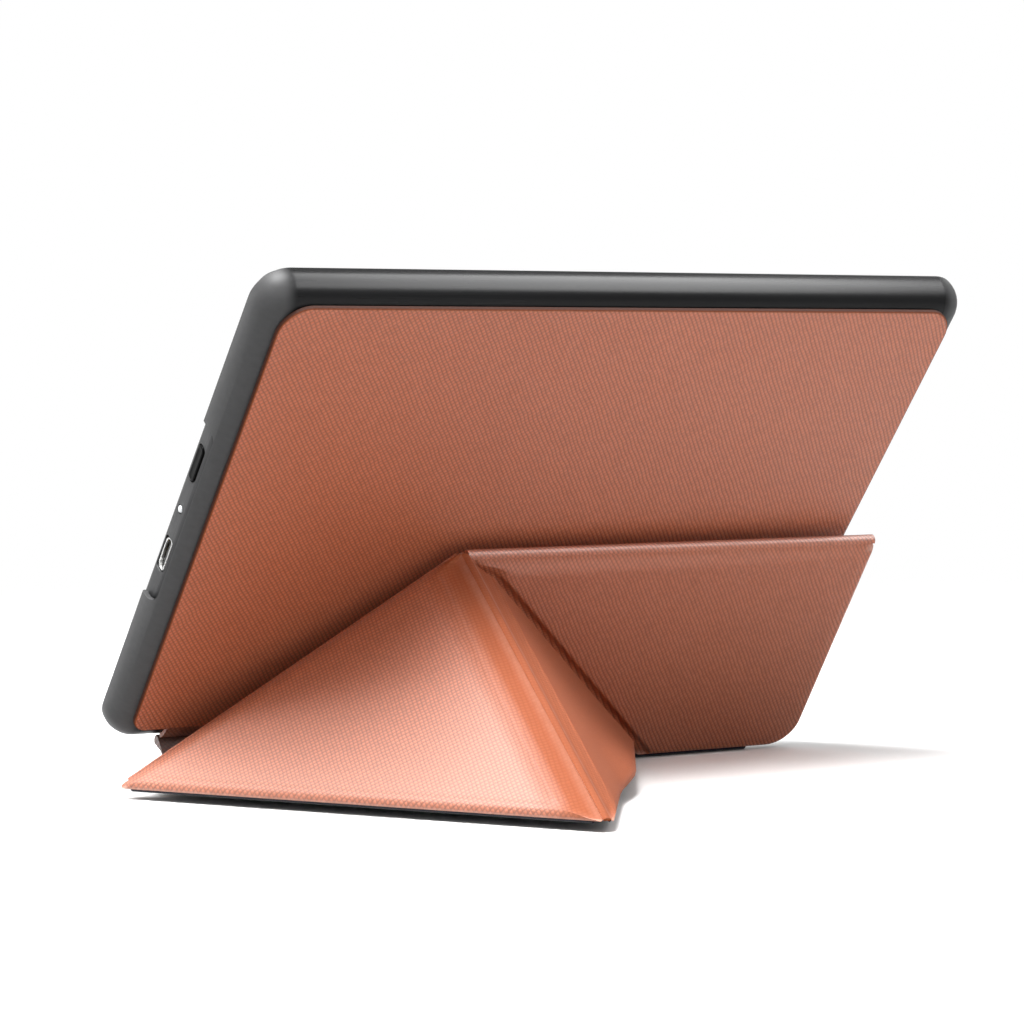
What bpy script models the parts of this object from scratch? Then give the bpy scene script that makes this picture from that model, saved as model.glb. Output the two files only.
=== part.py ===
"""Six-inch e-reader in a clip-on case whose folding cover stands behind it as an easel.

Case frame: +X runs along the reader towards its top end, +Y from the spine edge to the open edge, and
+Z out of the case's back. Cover frame: +X along the spine, +Y from the spine hinge to the free edge, and
+Z out of the lining, with z = 0 on the crease axes. The leaning case frame and the folded cover frames
are empties.
"""
import math

import bmesh
import bpy
from mathutils import Matrix, Vector

MM = 0.001

# Fits and gaps, and how far a cutter runs past what it cuts
GAP = 0.3 * MM
LAYER_GAP = 0.1 * MM
SLIDE_GAP = 0.25 * MM
OVERCUT = 5.0 * MM

# Reader
READER_LENGTH = 169.0 * MM
READER_WIDTH = 117.0 * MM
READER_THICKNESS = 9.1 * MM
READER_CORNER = 5.6 * MM
READER_BACK_ROUND = 4.3 * MM
READER_FRONT_ROUND = 4.2 * MM
HOUSING_BACK_WALL = 1.3 * MM
HOUSING_WALL = 2.7 * MM
BEZEL_THICKNESS = 0.9 * MM
BEZEL_RIB = 1.2 * MM
BEZEL_RIB_DEPTH = 1.1 * MM
BEZEL_SIDE = 12.0 * MM
BEZEL_TOP = 15.5 * MM
BEZEL_CHIN = 29.5 * MM
WINDOW_LAP = 4.0 * MM
LENS_THICKNESS = 0.4 * MM
LIGHT_GUIDE_THICKNESS = 0.4 * MM
DISPLAY_THICKNESS = 0.8 * MM
LIGHT_STRIP_WIDTH = 3.0 * MM
LIGHT_STRIP_MARGIN = 1.5 * MM
MIDFRAME_THICKNESS = 0.8 * MM
MIDFRAME_MARGIN = 1.2 * MM

# Screws and bosses
BOSS_RADIUS = 2.6 * MM
BOSS_INSET = 6.2 * MM
SCREW_RADIUS = 0.8 * MM
SCREW_HEAD_RADIUS = 1.7 * MM
SCREW_HEAD_HEIGHT = 0.7 * MM
SCREW_LENGTH = 2.6 * MM

# Boards and battery
BOARD_LENGTH = 46.0 * MM
BOARD_SIDE_MARGIN = 15.2 * MM
BOARD_THICKNESS = 0.8 * MM
BOARD_CLEARANCE = 1.5 * MM
STANDOFF_HEIGHT = 0.7 * MM
STANDOFF_RADIUS = 2.0 * MM
STANDOFF_INSET = 5.0 * MM
SHIELD_SIZE = 24.0 * MM
SHIELD_HEIGHT = 1.3 * MM
BATTERY_LENGTH = 84.0 * MM
BATTERY_WIDTH = 62.0 * MM
BATTERY_THICKNESS = 2.9 * MM
BATTERY_CORNER = 2.0 * MM

# Bottom end: button, light and socket, placed from the middle of the end
BUTTON_OFFSET = 12.1 * MM
LIGHT_OFFSET = 0.2 * MM
SOCKET_OFFSET = -11.5 * MM
BUTTON_LENGTH = 8.5 * MM
BUTTON_HEIGHT = 2.4 * MM
BUTTON_CORNER = 1.0 * MM
BUTTON_PROUD = 0.2 * MM
BUTTON_FLANGE = 0.8 * MM
BUTTON_FLANGE_THICKNESS = 0.5 * MM
BUTTON_TRAVEL = 0.4 * MM
SWITCH_LENGTH = 4.5 * MM
SWITCH_DEPTH = 2.8 * MM
SWITCH_HEIGHT = 1.2 * MM
LIGHT_RADIUS = 0.75 * MM
LIGHT_FLANGE_RADIUS = 1.3 * MM
SOCKET_LENGTH = 7.8 * MM
SOCKET_HEIGHT = 2.6 * MM
SOCKET_DEPTH = 5.4 * MM
SOCKET_CORNER = 0.7 * MM
SOCKET_WALL = 0.3 * MM
SOCKET_BACK = 0.6 * MM
TONGUE_LENGTH = 5.0 * MM
TONGUE_THICKNESS = 0.6 * MM
TONGUE_SETBACK = 0.5 * MM

# Case
CASE_WALL = 1.1 * MM
CASE_FLOOR = 1.2 * MM
CASE_RIM_PAST_PORTS = 0.9 * MM
CASE_RIM_ROUND = 0.5 * MM
SKIN_THICKNESS = 0.9 * MM
SKIN_END_BORDER = 4.0 * MM
SKIN_OPEN_BORDER = 4.0 * MM
SKIN_SPINE_BORDER = 5.2 * MM
SKIN_CORNER = 6.6 * MM
SKIN_SPINE_CORNER = 3.5 * MM
SKIN_WRAP_RISE = math.radians(53)
CUTOUT_PAST_SOCKET = 10.5 * MM
CUTOUT_PAST_BUTTON = 10.3 * MM
CUTOUT_LEDGE = 2.4 * MM
CUTOUT_CORNER = 2.4 * MM

# Cover
COVER_SHORTFALL = 4.2 * MM
COVER_CLEARANCE = 0.5 * MM
VERTEX_REACH = 64.0 * MM
FREE_EDGE_TRIM = 1.2 * MM
FREE_CORNER = 7.5 * MM
LEG_TIP_ROUND = 2.0 * MM
COVER_TILT = math.radians(4.7)
LEATHER = 0.6 * MM
LINING = 0.4 * MM
STIFFENER = 1.2 * MM
CREASE_MARGIN = 4.2 * MM
HEM = 1.4 * MM
LINING_HEM = 0.9 * MM
EDGE_ROUND = 0.5 * MM
WIDE_CREASE_GAP = 1.0 * MM
SPINE_SETBACK = 11.5 * MM
SPINE_HINGE_RISE = math.radians(40)
SPINE_ANGLE = math.radians(105)
SPINE_CLOSED_ANGLE = math.radians(82)
MAGNET_RADIUS = 4.0 * MM
MAGNET_THICKNESS = 0.8 * MM
WAKE_MAGNET_FROM_GROOVE = 15.6 * MM
CLOSING_MAGNET_INSET = 17.0 * MM
MAGNET_FROM_FREE_EDGE = 15.8 * MM

# Heights through the closed stack, from the back skin at zero down to the screen
CASE_BACK = -SKIN_THICKNESS - LAYER_GAP
CASE_INSIDE = CASE_BACK - CASE_FLOOR
READER_BACK = CASE_INSIDE - GAP
HOUSING_FLOOR = READER_BACK - HOUSING_BACK_WALL
READER_FRONT = READER_BACK - READER_THICKNESS
BEZEL_BACK = READER_FRONT + BEZEL_THICKNESS
LENS_FRONT = BEZEL_BACK + LAYER_GAP
LIGHT_GUIDE_FRONT = LENS_FRONT + LENS_THICKNESS + LAYER_GAP
DISPLAY_FRONT = LIGHT_GUIDE_FRONT + LIGHT_GUIDE_THICKNESS + LAYER_GAP
MIDFRAME_FRONT = DISPLAY_FRONT + DISPLAY_THICKNESS + SCREW_HEAD_HEIGHT / 2
MIDFRAME_BACK = MIDFRAME_FRONT + MIDFRAME_THICKNESS
BOARD_BACK = HOUSING_FLOOR - STANDOFF_HEIGHT - GAP
BOARD_FRONT = BOARD_BACK - BOARD_THICKNESS
PORT_HEIGHT = BOARD_FRONT - LAYER_GAP - SOCKET_HEIGHT / 2
CASE_FRONT = PORT_HEIGHT - CASE_RIM_PAST_PORTS

# Plan sizes of the case and where the reader lies in it
CASE_LENGTH = READER_LENGTH + 2 * (GAP + CASE_WALL)
CASE_WIDTH = READER_WIDTH + 2 * (GAP + CASE_WALL)
CASE_CORNER = READER_CORNER + GAP + CASE_WALL
CASE_BACK_ROUND = READER_BACK_ROUND + GAP + CASE_WALL
MID_WIDTH = CASE_WIDTH / 2
BUTTON_PLACE = MID_WIDTH + BUTTON_OFFSET
LIGHT_PLACE = MID_WIDTH + LIGHT_OFFSET
SOCKET_PLACE = MID_WIDTH + SOCKET_OFFSET
CUTOUT_START = SOCKET_PLACE - CUTOUT_PAST_SOCKET
CUTOUT_END = BUTTON_PLACE + CUTOUT_PAST_BUTTON
WINDOW_LENGTH = READER_LENGTH - BEZEL_TOP - BEZEL_CHIN
WINDOW_WIDTH = READER_WIDTH - 2 * BEZEL_SIDE
WINDOW_SHIFT = (BEZEL_CHIN - BEZEL_TOP) / 2
READER_END = -READER_LENGTH / 2
INNER_END = READER_END + HOUSING_WALL
BOARD_END = INNER_END + BOARD_CLEARANCE
CAVITY_LENGTH = READER_LENGTH - 2 * HOUSING_WALL
CAVITY_WIDTH = READER_WIDTH - 2 * HOUSING_WALL
BOARD_WIDTH = CAVITY_WIDTH - 2 * BOARD_SIDE_MARGIN
LIGHT_STRIP_LENGTH = WINDOW_WIDTH - 2 * LIGHT_STRIP_MARGIN

# Cover layers: the lining lies just off the crease axes, with the board and the leather behind it
STEM_GAP = 0.2 * MM
LINING_OUT = -STEM_GAP
LINING_IN = LINING_OUT - LINING
LEATHER_IN = LINING_IN - LAYER_GAP
FOLD_RADIUS = -(LEATHER_IN - LEATHER)
STIFFENER_OUT = LEATHER_IN - STIFFENER
PANEL_FACE = STIFFENER_OUT - LAYER_GAP - LEATHER

# Cover size, and the spine strip from its hinge on the case's round to the closed cover's front
COVER_LENGTH = CASE_LENGTH
STEM_DISTANCE = (CASE_WIDTH - COVER_SHORTFALL) / 2
SPINE_LENGTH = COVER_LENGTH - 2 * SPINE_SETBACK
SPINE_HINGE_REACH = CASE_BACK_ROUND + FOLD_RADIUS + GAP
SPINE_HINGE_Y = CASE_BACK_ROUND - SPINE_HINGE_REACH * math.cos(SPINE_HINGE_RISE)
SPINE_HINGE_Z = CASE_BACK - CASE_BACK_ROUND + SPINE_HINGE_REACH * math.sin(SPINE_HINGE_RISE)
CLOSED_DROP = SPINE_HINGE_Z - READER_FRONT + FOLD_RADIUS + COVER_CLEARANCE
SPINE_WIDTH = CLOSED_DROP / math.sin(SPINE_CLOSED_ANGLE)

# Crease pattern in the cover frame
SPINE_CORNER = Vector((0, 0))
SPINE_END = Vector((COVER_LENGTH, 0))
VERTEX = Vector((VERTEX_REACH, STEM_DISTANCE))
STEM_END = Vector((COVER_LENGTH, STEM_DISTANCE))
FREE_EDGE = 2 * STEM_DISTANCE - FREE_EDGE_TRIM
EDGE_SHARE = FREE_EDGE_TRIM / STEM_DISTANCE
RIDGE_END = Vector((VERTEX_REACH * EDGE_SHARE, FREE_EDGE))
GROOVE_END = Vector((VERTEX_REACH * (2 - EDGE_SHARE), FREE_EDGE))
LEG_TIP = Vector((0, 2 * STEM_DISTANCE))
FREE_OUTER = Vector((COVER_LENGTH, FREE_EDGE))
MAGNET_LEVEL = FREE_EDGE - MAGNET_FROM_FREE_EDGE
GROOVE_AT_MAGNETS = VERTEX_REACH * MAGNET_LEVEL / STEM_DISTANCE
WAKE_MAGNET = Vector((GROOVE_AT_MAGNETS + WAKE_MAGNET_FROM_GROOVE, MAGNET_LEVEL))
CLOSING_MAGNET = Vector((COVER_LENGTH - CLOSING_MAGNET_INSET, MAGNET_LEVEL))

# With the flap folded right back, the vertex closes at one angle of its side creases
CREASE_ANGLE = math.atan2(STEM_DISTANCE, VERTEX_REACH)
SIDE_FOLD = math.acos(math.cos(2 * CREASE_ANGLE) / (1 + math.cos(2 * CREASE_ANGLE)))

# Mesh fineness
ROUND_STEPS = 6
BACK_ROUND_STEPS = 5
SMALL_ROUND_STEPS = 2
ROD_SIDES = 16
FEW_SIDES = 12
MAGNET_SIDES = 20
WELD = 1e-7
FLAT_ANGLE = 0.001

# Drawn size of the empties
FRAME_MARK = 10.0 * MM


# Scene set-up
for old in list(bpy.data.objects):
    bpy.data.objects.remove(old, do_unlink=True)

parts = bpy.data.collections.new("e_reader")
bpy.context.scene.collection.children.link(parts)
cutters = bpy.data.collections.new("cutters")
bpy.context.scene.collection.children.link(cutters)


def material(name, colour, roughness, metallic=0.0):
    finish = bpy.data.materials.new(name)
    finish.use_nodes = True
    shader = finish.node_tree.nodes["Principled BSDF"]
    shader.inputs["Base Color"].default_value = (*colour, 1)
    shader.inputs["Roughness"].default_value = roughness
    shader.inputs["Metallic"].default_value = metallic
    finish.diffuse_color = (*colour, 1)
    return finish


BLACK_PLASTIC = material("black_plastic", (0.012, 0.012, 0.013), 0.35)
READER_PLASTIC = material("reader_plastic", (0.02, 0.02, 0.022), 0.55)
BROWN_LEATHER = material("brown_leather", (0.33, 0.12, 0.065), 0.55)
DARK_LINING = material("dark_lining", (0.012, 0.012, 0.02), 0.9)
GREY_BOARD = material("grey_board", (0.32, 0.31, 0.29), 0.85)
CLEAR_SHEET = material("clear_sheet", (0.75, 0.77, 0.78), 0.1)
PAPER_WHITE = material("paper_white", (0.6, 0.6, 0.57), 0.7)
BARE_METAL = material("bare_metal", (0.62, 0.62, 0.63), 0.35, 1.0)
GREEN_BOARD = material("green_board", (0.02, 0.11, 0.05), 0.5)
SILVER_FOIL = material("silver_foil", (0.55, 0.56, 0.58), 0.4, 0.6)


# Meshes
def tidy(mesh_builder, name):
    """Weld and orient a bmesh, merge its flat faces, and return it as a mesh."""
    bmesh.ops.remove_doubles(mesh_builder, verts=mesh_builder.verts, dist=WELD)
    bmesh.ops.dissolve_limit(mesh_builder, angle_limit=FLAT_ANGLE, verts=mesh_builder.verts,
                             edges=mesh_builder.edges)
    bmesh.ops.recalc_face_normals(mesh_builder, faces=mesh_builder.faces)
    mesh = bpy.data.meshes.new(name)
    mesh_builder.to_mesh(mesh)
    mesh_builder.free()
    return mesh


def round_rim(builder, height, radius, steps):
    """Round the edges that lie at one height."""
    rim = [edge for edge in builder.edges if all(abs(vert.co.z - height) < WELD for vert in edge.verts)]
    bmesh.ops.bevel(builder, geom=rim, offset=radius, segments=steps, profile=0.5, affect="EDGES")


def prism(outline, low, high, edge_round=0.0):
    """A flat outline as a plate between two heights, with its low rim rounded where asked."""
    curve = bpy.data.curves.new("outline", "CURVE")
    curve.dimensions = "2D"
    curve.fill_mode = "BOTH"
    curve.extrude = (high - low) / 2
    spline = curve.splines.new("POLY")
    spline.points.add(len(outline) - 1)
    for point, place in zip(spline.points, outline):
        point.co = (place[0], place[1], 0, 1)
    spline.use_cyclic_u = True
    drawn = bpy.data.objects.new("outline", curve)
    cutters.objects.link(drawn)
    filled = bpy.data.meshes.new_from_object(drawn.evaluated_get(bpy.context.evaluated_depsgraph_get()))
    bpy.data.objects.remove(drawn)
    builder = bmesh.new()
    builder.from_mesh(filled)
    bpy.data.meshes.remove(filled)
    bmesh.ops.translate(builder, verts=builder.verts, vec=(0, 0, (low + high) / 2))
    bmesh.ops.remove_doubles(builder, verts=builder.verts, dist=WELD)
    bmesh.ops.dissolve_limit(builder, angle_limit=FLAT_ANGLE, verts=builder.verts, edges=builder.edges)
    bmesh.ops.recalc_face_normals(builder, faces=builder.faces)
    if edge_round:
        round_rim(builder, low, edge_round, SMALL_ROUND_STEPS)
    return tidy(builder, "plate")


def block(size, centre):
    builder = bmesh.new()
    bmesh.ops.create_cube(builder, size=1)
    bmesh.ops.scale(builder, verts=builder.verts, vec=size)
    bmesh.ops.translate(builder, verts=builder.verts, vec=centre)
    return tidy(builder, "block")


def rod(radius, start, end, sides=ROD_SIDES):
    """A round bar between two points."""
    start = Vector(start)
    reach = Vector(end) - start
    turn = reach.to_track_quat("Z", "Y").to_matrix().to_4x4()
    builder = bmesh.new()
    bmesh.ops.create_cone(builder, cap_ends=True, segments=sides, radius1=radius, radius2=radius,
                          depth=reach.length)
    bmesh.ops.transform(builder, verts=builder.verts, matrix=Matrix.Translation(start + reach / 2) @ turn)
    return tidy(builder, "rod")


def rounded_box(length, width, back, front, corner, back_round=0.0, front_round=0.0):
    """A box standing on the reader's middle, with round plan corners and rounded back and front rims."""
    builder = bmesh.new()
    bmesh.ops.create_cube(builder, size=1)
    bmesh.ops.scale(builder, verts=builder.verts, vec=(length, width, back - front))
    bmesh.ops.translate(builder, verts=builder.verts, vec=(0, MID_WIDTH, (back + front) / 2))
    posts = [edge for edge in builder.edges if abs(edge.verts[0].co.z - edge.verts[1].co.z) > WELD]
    bmesh.ops.bevel(builder, geom=posts, offset=corner, segments=ROUND_STEPS, profile=0.5, affect="EDGES")
    if back_round:
        round_rim(builder, back, back_round, BACK_ROUND_STEPS)
    if front_round:
        round_rim(builder, front, front_round, SMALL_ROUND_STEPS)
    return tidy(builder, "rounded_box")


# Outlines
def inset(corners, distances):
    """Move each edge of a convex outline inwards by its own distance."""
    count = len(corners)
    centre = sum(corners, Vector((0, 0))) / count
    lines = []
    for index, start in enumerate(corners):
        along = (corners[(index + 1) % count] - start).normalized()
        inward = Vector((-along.y, along.x))
        if inward.dot(centre - start) < 0:
            inward = -inward
        lines.append((start + inward * distances[index], along))
    moved = []
    for index in range(count):
        point, along = lines[index - 1]
        other, across = lines[index]
        share = (other - point).cross(across) / along.cross(across)
        moved.append(point + along * share)
    return moved


def rounded(corners, radii):
    """Replace each corner that has a radius by an arc."""
    outline = []
    count = len(corners)
    for index, corner in enumerate(corners):
        if not radii[index]:
            outline.append(corner)
            continue
        before = (corners[index - 1] - corner).normalized()
        after = (corners[(index + 1) % count] - corner).normalized()
        half = before.angle(after) / 2
        middle = corner + (before + after).normalized() * radii[index] / math.sin(half)
        start = corner + before * radii[index] / math.tan(half) - middle
        sweep = start.angle_signed(corner + after * radii[index] / math.tan(half) - middle)
        for step in range(ROUND_STEPS + 1):
            turn = Matrix.Rotation(-sweep * step / ROUND_STEPS, 2)
            outline.append(middle + turn @ start)
    return outline


def shrunk(radii, distance):
    """Radii of an outline's corners after its edges move inwards."""
    return [max(radius - distance, 0) for radius in radii]


def rectangle(centre, length, width):
    """The corners of a flat rectangle."""
    x, y = centre
    return [Vector((x - length / 2, y - width / 2)), Vector((x + length / 2, y - width / 2)),
            Vector((x + length / 2, y + width / 2)), Vector((x - length / 2, y + width / 2))]


def end_prism(outline, start, depth):
    """A plate drawn on the reader's bottom end: the outline's two axes are the width and the height."""
    mesh = prism(outline, 0, depth)
    end_face = Matrix(((0, 0, 1, 0), (1, 0, 0, 0), (0, 1, 0, 0), (0, 0, 0, 1)))
    mesh.transform(Matrix.Translation((start, 0, 0)) @ end_face)
    return mesh


# Objects
def place(name, mesh, parent, finish=None):
    """Add a mesh as a part, or as a hidden cutter where it has no finish."""
    piece = bpy.data.objects.new(name, mesh)
    piece.parent = parent
    if finish:
        mesh.materials.append(finish)
        parts.objects.link(piece)
    else:
        cutters.objects.link(piece)
        piece.hide_render = True
        piece.display_type = "WIRE"
    return piece


def combine(piece, mesh, operation):
    """Cut a mesh from a part, or join it on, in the part's own frame."""
    tool = place(piece.name + "_" + operation.lower(), mesh, piece.parent)
    change = piece.modifiers.new(operation.title(), "BOOLEAN")
    change.operation = operation
    change.object = tool
    return piece


def cut(piece, mesh):
    return combine(piece, mesh, "DIFFERENCE")


def join(piece, mesh):
    return combine(piece, mesh, "UNION")


def frame(name, parent, place_at, angle, axis):
    """An empty on a joint axis, turned about that axis."""
    empty = bpy.data.objects.new(name, None)
    empty.parent = parent
    empty.matrix_basis = Matrix.Translation(place_at) @ Matrix.Rotation(angle, 4, axis)
    empty.empty_display_size = FRAME_MARK
    bpy.context.scene.collection.objects.link(empty)
    return empty


# Frames: the lean comes from setting the leg's end edge level on the table
COVER_X = -COVER_LENGTH / 2
SPINE_HINGE = Vector((0, SPINE_HINGE_Y, SPINE_HINGE_Z))
X_AXIS = Vector((1, 0, 0))
LEG_AXIS = Vector((*VERTEX, 0)).normalized()
GROOVE_AXIS = (Vector((*GROOVE_END, 0)) - Vector((*VERTEX, 0))).normalized()
leg_edge = Matrix.Rotation(SIDE_FOLD, 3, LEG_AXIS) @ Vector((-VERTEX_REACH, STEM_DISTANCE, 0))
leg_edge = Matrix.Rotation(-COVER_TILT, 3, X_AXIS) @ (leg_edge + Vector((*VERTEX, 0)))
LEAN = math.atan2(leg_edge.z, leg_edge.y)

stand = frame("stand_frame", None, Vector(), math.pi - LEAN, X_AXIS)
spine = frame("spine_frame", stand, SPINE_HINGE, SPINE_ANGLE, X_AXIS)
hinge = frame("hinge_panel_frame", spine, Vector((COVER_X, SPINE_WIDTH, 0)), -SPINE_ANGLE - COVER_TILT,
              X_AXIS)
flap = frame("flap_panel_frame", hinge, Vector((*VERTEX, 0)), math.pi, X_AXIS)
leg = frame("leg_panel_frame", hinge, Vector((*VERTEX, 0)), SIDE_FOLD, LEG_AXIS)
brace = frame("brace_panel_frame", flap, Vector(), -SIDE_FOLD, GROOVE_AXIS)


# Case shell: a shallow tray with half-round edges that ends just past the reader's widest line, with a
# cut-out in its bottom end for the button and socket
shell = place("case_shell", rounded_box(CASE_LENGTH, CASE_WIDTH, CASE_BACK, CASE_FRONT, CASE_CORNER,
                                        CASE_BACK_ROUND, CASE_RIM_ROUND), stand, BLACK_PLASTIC)
cut(shell, rounded_box(READER_LENGTH + 2 * GAP, READER_WIDTH + 2 * GAP, CASE_INSIDE, READER_FRONT - GAP,
                       READER_CORNER + GAP, READER_BACK_ROUND + GAP, READER_FRONT_ROUND + GAP))
ledge = CASE_BACK - CUTOUT_LEDGE
cutout_corners = [Vector((CUTOUT_START, CASE_FRONT - OVERCUT)), Vector((CUTOUT_END, CASE_FRONT - OVERCUT)),
                  Vector((CUTOUT_END, ledge)), Vector((CUTOUT_START, ledge))]
cutout = rounded(cutout_corners, [0, 0, CUTOUT_CORNER, CUTOUT_CORNER])
cut(shell, end_prism(cutout, -CASE_LENGTH / 2 - OVERCUT, OVERCUT + CASE_BACK_ROUND))

# Leather skin on the shell's back, with a tongue that follows the round spine edge down to the hinge
skin_half = CASE_LENGTH / 2 - SKIN_END_BORDER
tongue_half = SPINE_LENGTH / 2
skin_top = CASE_WIDTH - SKIN_OPEN_BORDER
round_middle = Vector((CASE_BACK_ROUND, CASE_BACK - CASE_BACK_ROUND))
wrap_rises = [SKIN_WRAP_RISE + (math.pi / 2 - SKIN_WRAP_RISE) * step / ROUND_STEPS
              for step in range(ROUND_STEPS + 1)]
wrap = [Vector((-math.cos(rise), math.sin(rise))) for rise in wrap_rises]
under = CASE_BACK_ROUND + LAYER_GAP
skin_profile = [round_middle + ray * (under + SKIN_THICKNESS) for ray in wrap]
skin_profile += [Vector((skin_top + OVERCUT, 0)), Vector((skin_top + OVERCUT, -SKIN_THICKNESS))]
skin_profile += [round_middle + ray * under for ray in reversed(wrap)]
skin = place("back_skin", end_prism(skin_profile, -skin_half - OVERCUT, 2 * (skin_half + OVERCUT)), stand,
             BROWN_LEATHER)
skin_plan = [Vector((-tongue_half, -OVERCUT)), Vector((tongue_half, -OVERCUT)),
             Vector((tongue_half, SKIN_SPINE_BORDER)), Vector((skin_half, SKIN_SPINE_BORDER)),
             Vector((skin_half, skin_top)), Vector((-skin_half, skin_top)),
             Vector((-skin_half, SKIN_SPINE_BORDER)), Vector((-tongue_half, SKIN_SPINE_BORDER))]
skin_radii = [0, 0, 0, SKIN_SPINE_CORNER, SKIN_CORNER, SKIN_CORNER, SKIN_SPINE_CORNER, 0]
combine(skin, prism(rounded(skin_plan, skin_radii), -2 * OVERCUT, OVERCUT), "INTERSECT")


# Rear housing: a thin tray with screw bosses, board standoffs and three ports in its bottom end
def reader_body():
    """The reader's outer form, rounded all round its edges."""
    return rounded_box(READER_LENGTH, READER_WIDTH, READER_BACK, READER_FRONT, READER_CORNER,
                       READER_BACK_ROUND, READER_FRONT_ROUND)


def reader_slab(low, high):
    """A slab wider than the reader, to cut its form at one height."""
    size = (READER_LENGTH + OVERCUT, READER_WIDTH + OVERCUT, high - low)
    return block(size, (0, MID_WIDTH, (low + high) / 2))


housing = place("rear_housing", reader_body(), stand, READER_PLASTIC)
cut(housing, reader_slab(READER_FRONT - OVERCUT, BEZEL_BACK + GAP))
cut(housing, rounded_box(CAVITY_LENGTH, CAVITY_WIDTH, HOUSING_FLOOR, READER_FRONT - OVERCUT,
                         READER_CORNER - HOUSING_WALL))
SCREW_PLACES = [(sx * (CAVITY_LENGTH / 2 - BOSS_INSET), MID_WIDTH + sy * (CAVITY_WIDTH / 2 - BOSS_INSET))
                for sx in (-1, 1) for sy in (-1, 1)]
for x, y in SCREW_PLACES:
    join(housing, rod(BOSS_RADIUS, (x, y, HOUSING_FLOOR + HOUSING_BACK_WALL / 2),
                      (x, y, MIDFRAME_BACK + GAP)))
board_mid = BOARD_END + BOARD_LENGTH / 2
for sx in (-1, 1):
    for sy in (-1, 1):
        x = board_mid + sx * (BOARD_LENGTH / 2 - STANDOFF_INSET)
        y = MID_WIDTH + sy * (BOARD_WIDTH / 2 - STANDOFF_INSET)
        join(housing, rod(STANDOFF_RADIUS, (x, y, HOUSING_FLOOR + HOUSING_BACK_WALL / 2),
                          (x, y, HOUSING_FLOOR - STANDOFF_HEIGHT)))
for x, y in SCREW_PLACES:
    cut(housing, rod(SCREW_RADIUS + SLIDE_GAP, (x, y, MIDFRAME_BACK - SCREW_LENGTH),
                     (x, y, MIDFRAME_BACK + SCREW_LENGTH)))
button_corners = rectangle((BUTTON_PLACE, PORT_HEIGHT), BUTTON_LENGTH, BUTTON_HEIGHT)
button_slot = rounded(inset(button_corners, [-SLIDE_GAP] * 4), [BUTTON_CORNER + SLIDE_GAP] * 4)
socket_corners = rectangle((SOCKET_PLACE, PORT_HEIGHT), SOCKET_LENGTH, SOCKET_HEIGHT)
socket_radii = [SOCKET_CORNER * 2, SOCKET_CORNER * 2, SOCKET_CORNER, SOCKET_CORNER]
socket_slot = rounded(inset(socket_corners, [-GAP] * 4), shrunk(socket_radii, -GAP))
for slot in (button_slot, socket_slot):
    cut(housing, end_prism(slot, READER_END - OVERCUT, 2 * OVERCUT))
cut(housing, rod(LIGHT_RADIUS + SLIDE_GAP, (READER_END - OVERCUT, LIGHT_PLACE, PORT_HEIGHT),
                 (READER_END + OVERCUT, LIGHT_PLACE, PORT_HEIGHT)))

# Front bezel: a frame round the screen, with a rib that drops inside the housing wall
bezel = place("front_bezel", reader_body(), stand, READER_PLASTIC)
cut(bezel, reader_slab(BEZEL_BACK, READER_BACK + OVERCUT))
rib_length = CAVITY_LENGTH - 2 * GAP
rib_width = CAVITY_WIDTH - 2 * GAP
rib_corner = READER_CORNER - HOUSING_WALL - GAP
join(bezel, rounded_box(rib_length, rib_width, BEZEL_BACK + BEZEL_RIB_DEPTH,
                        BEZEL_BACK - BEZEL_THICKNESS / 2, rib_corner))
cut(bezel, rounded_box(rib_length - 2 * BEZEL_RIB, rib_width - 2 * BEZEL_RIB, BEZEL_BACK + OVERCUT,
                       BEZEL_BACK, rib_corner - BEZEL_RIB))
cut(bezel, block((WINDOW_LENGTH, WINDOW_WIDTH, OVERCUT), (WINDOW_SHIFT, MID_WIDTH, BEZEL_BACK)))


# Screen stack: lens, light guide with its strip of lamps, and the display
def sheet(name, lap, front, thickness, finish):
    size = (WINDOW_LENGTH + 2 * lap, WINDOW_WIDTH + 2 * lap, thickness)
    return place(name, block(size, (WINDOW_SHIFT, MID_WIDTH, front + thickness / 2)), stand, finish)


sheet("screen_lens", WINDOW_LAP, LENS_FRONT, LENS_THICKNESS, CLEAR_SHEET)
sheet("light_guide", WINDOW_LAP - GAP, LIGHT_GUIDE_FRONT, LIGHT_GUIDE_THICKNESS, CLEAR_SHEET)
sheet("epaper_display", WINDOW_LAP, DISPLAY_FRONT, DISPLAY_THICKNESS, PAPER_WHITE)
strip_x = WINDOW_SHIFT - WINDOW_LENGTH / 2 - WINDOW_LAP - LIGHT_STRIP_WIDTH / 2
place("front_light_strip", block((LIGHT_STRIP_WIDTH, LIGHT_STRIP_LENGTH, LIGHT_GUIDE_THICKNESS),
                                 (strip_x, MID_WIDTH, LIGHT_GUIDE_FRONT + LIGHT_GUIDE_THICKNESS / 2)),
      stand, GREEN_BOARD)

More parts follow.
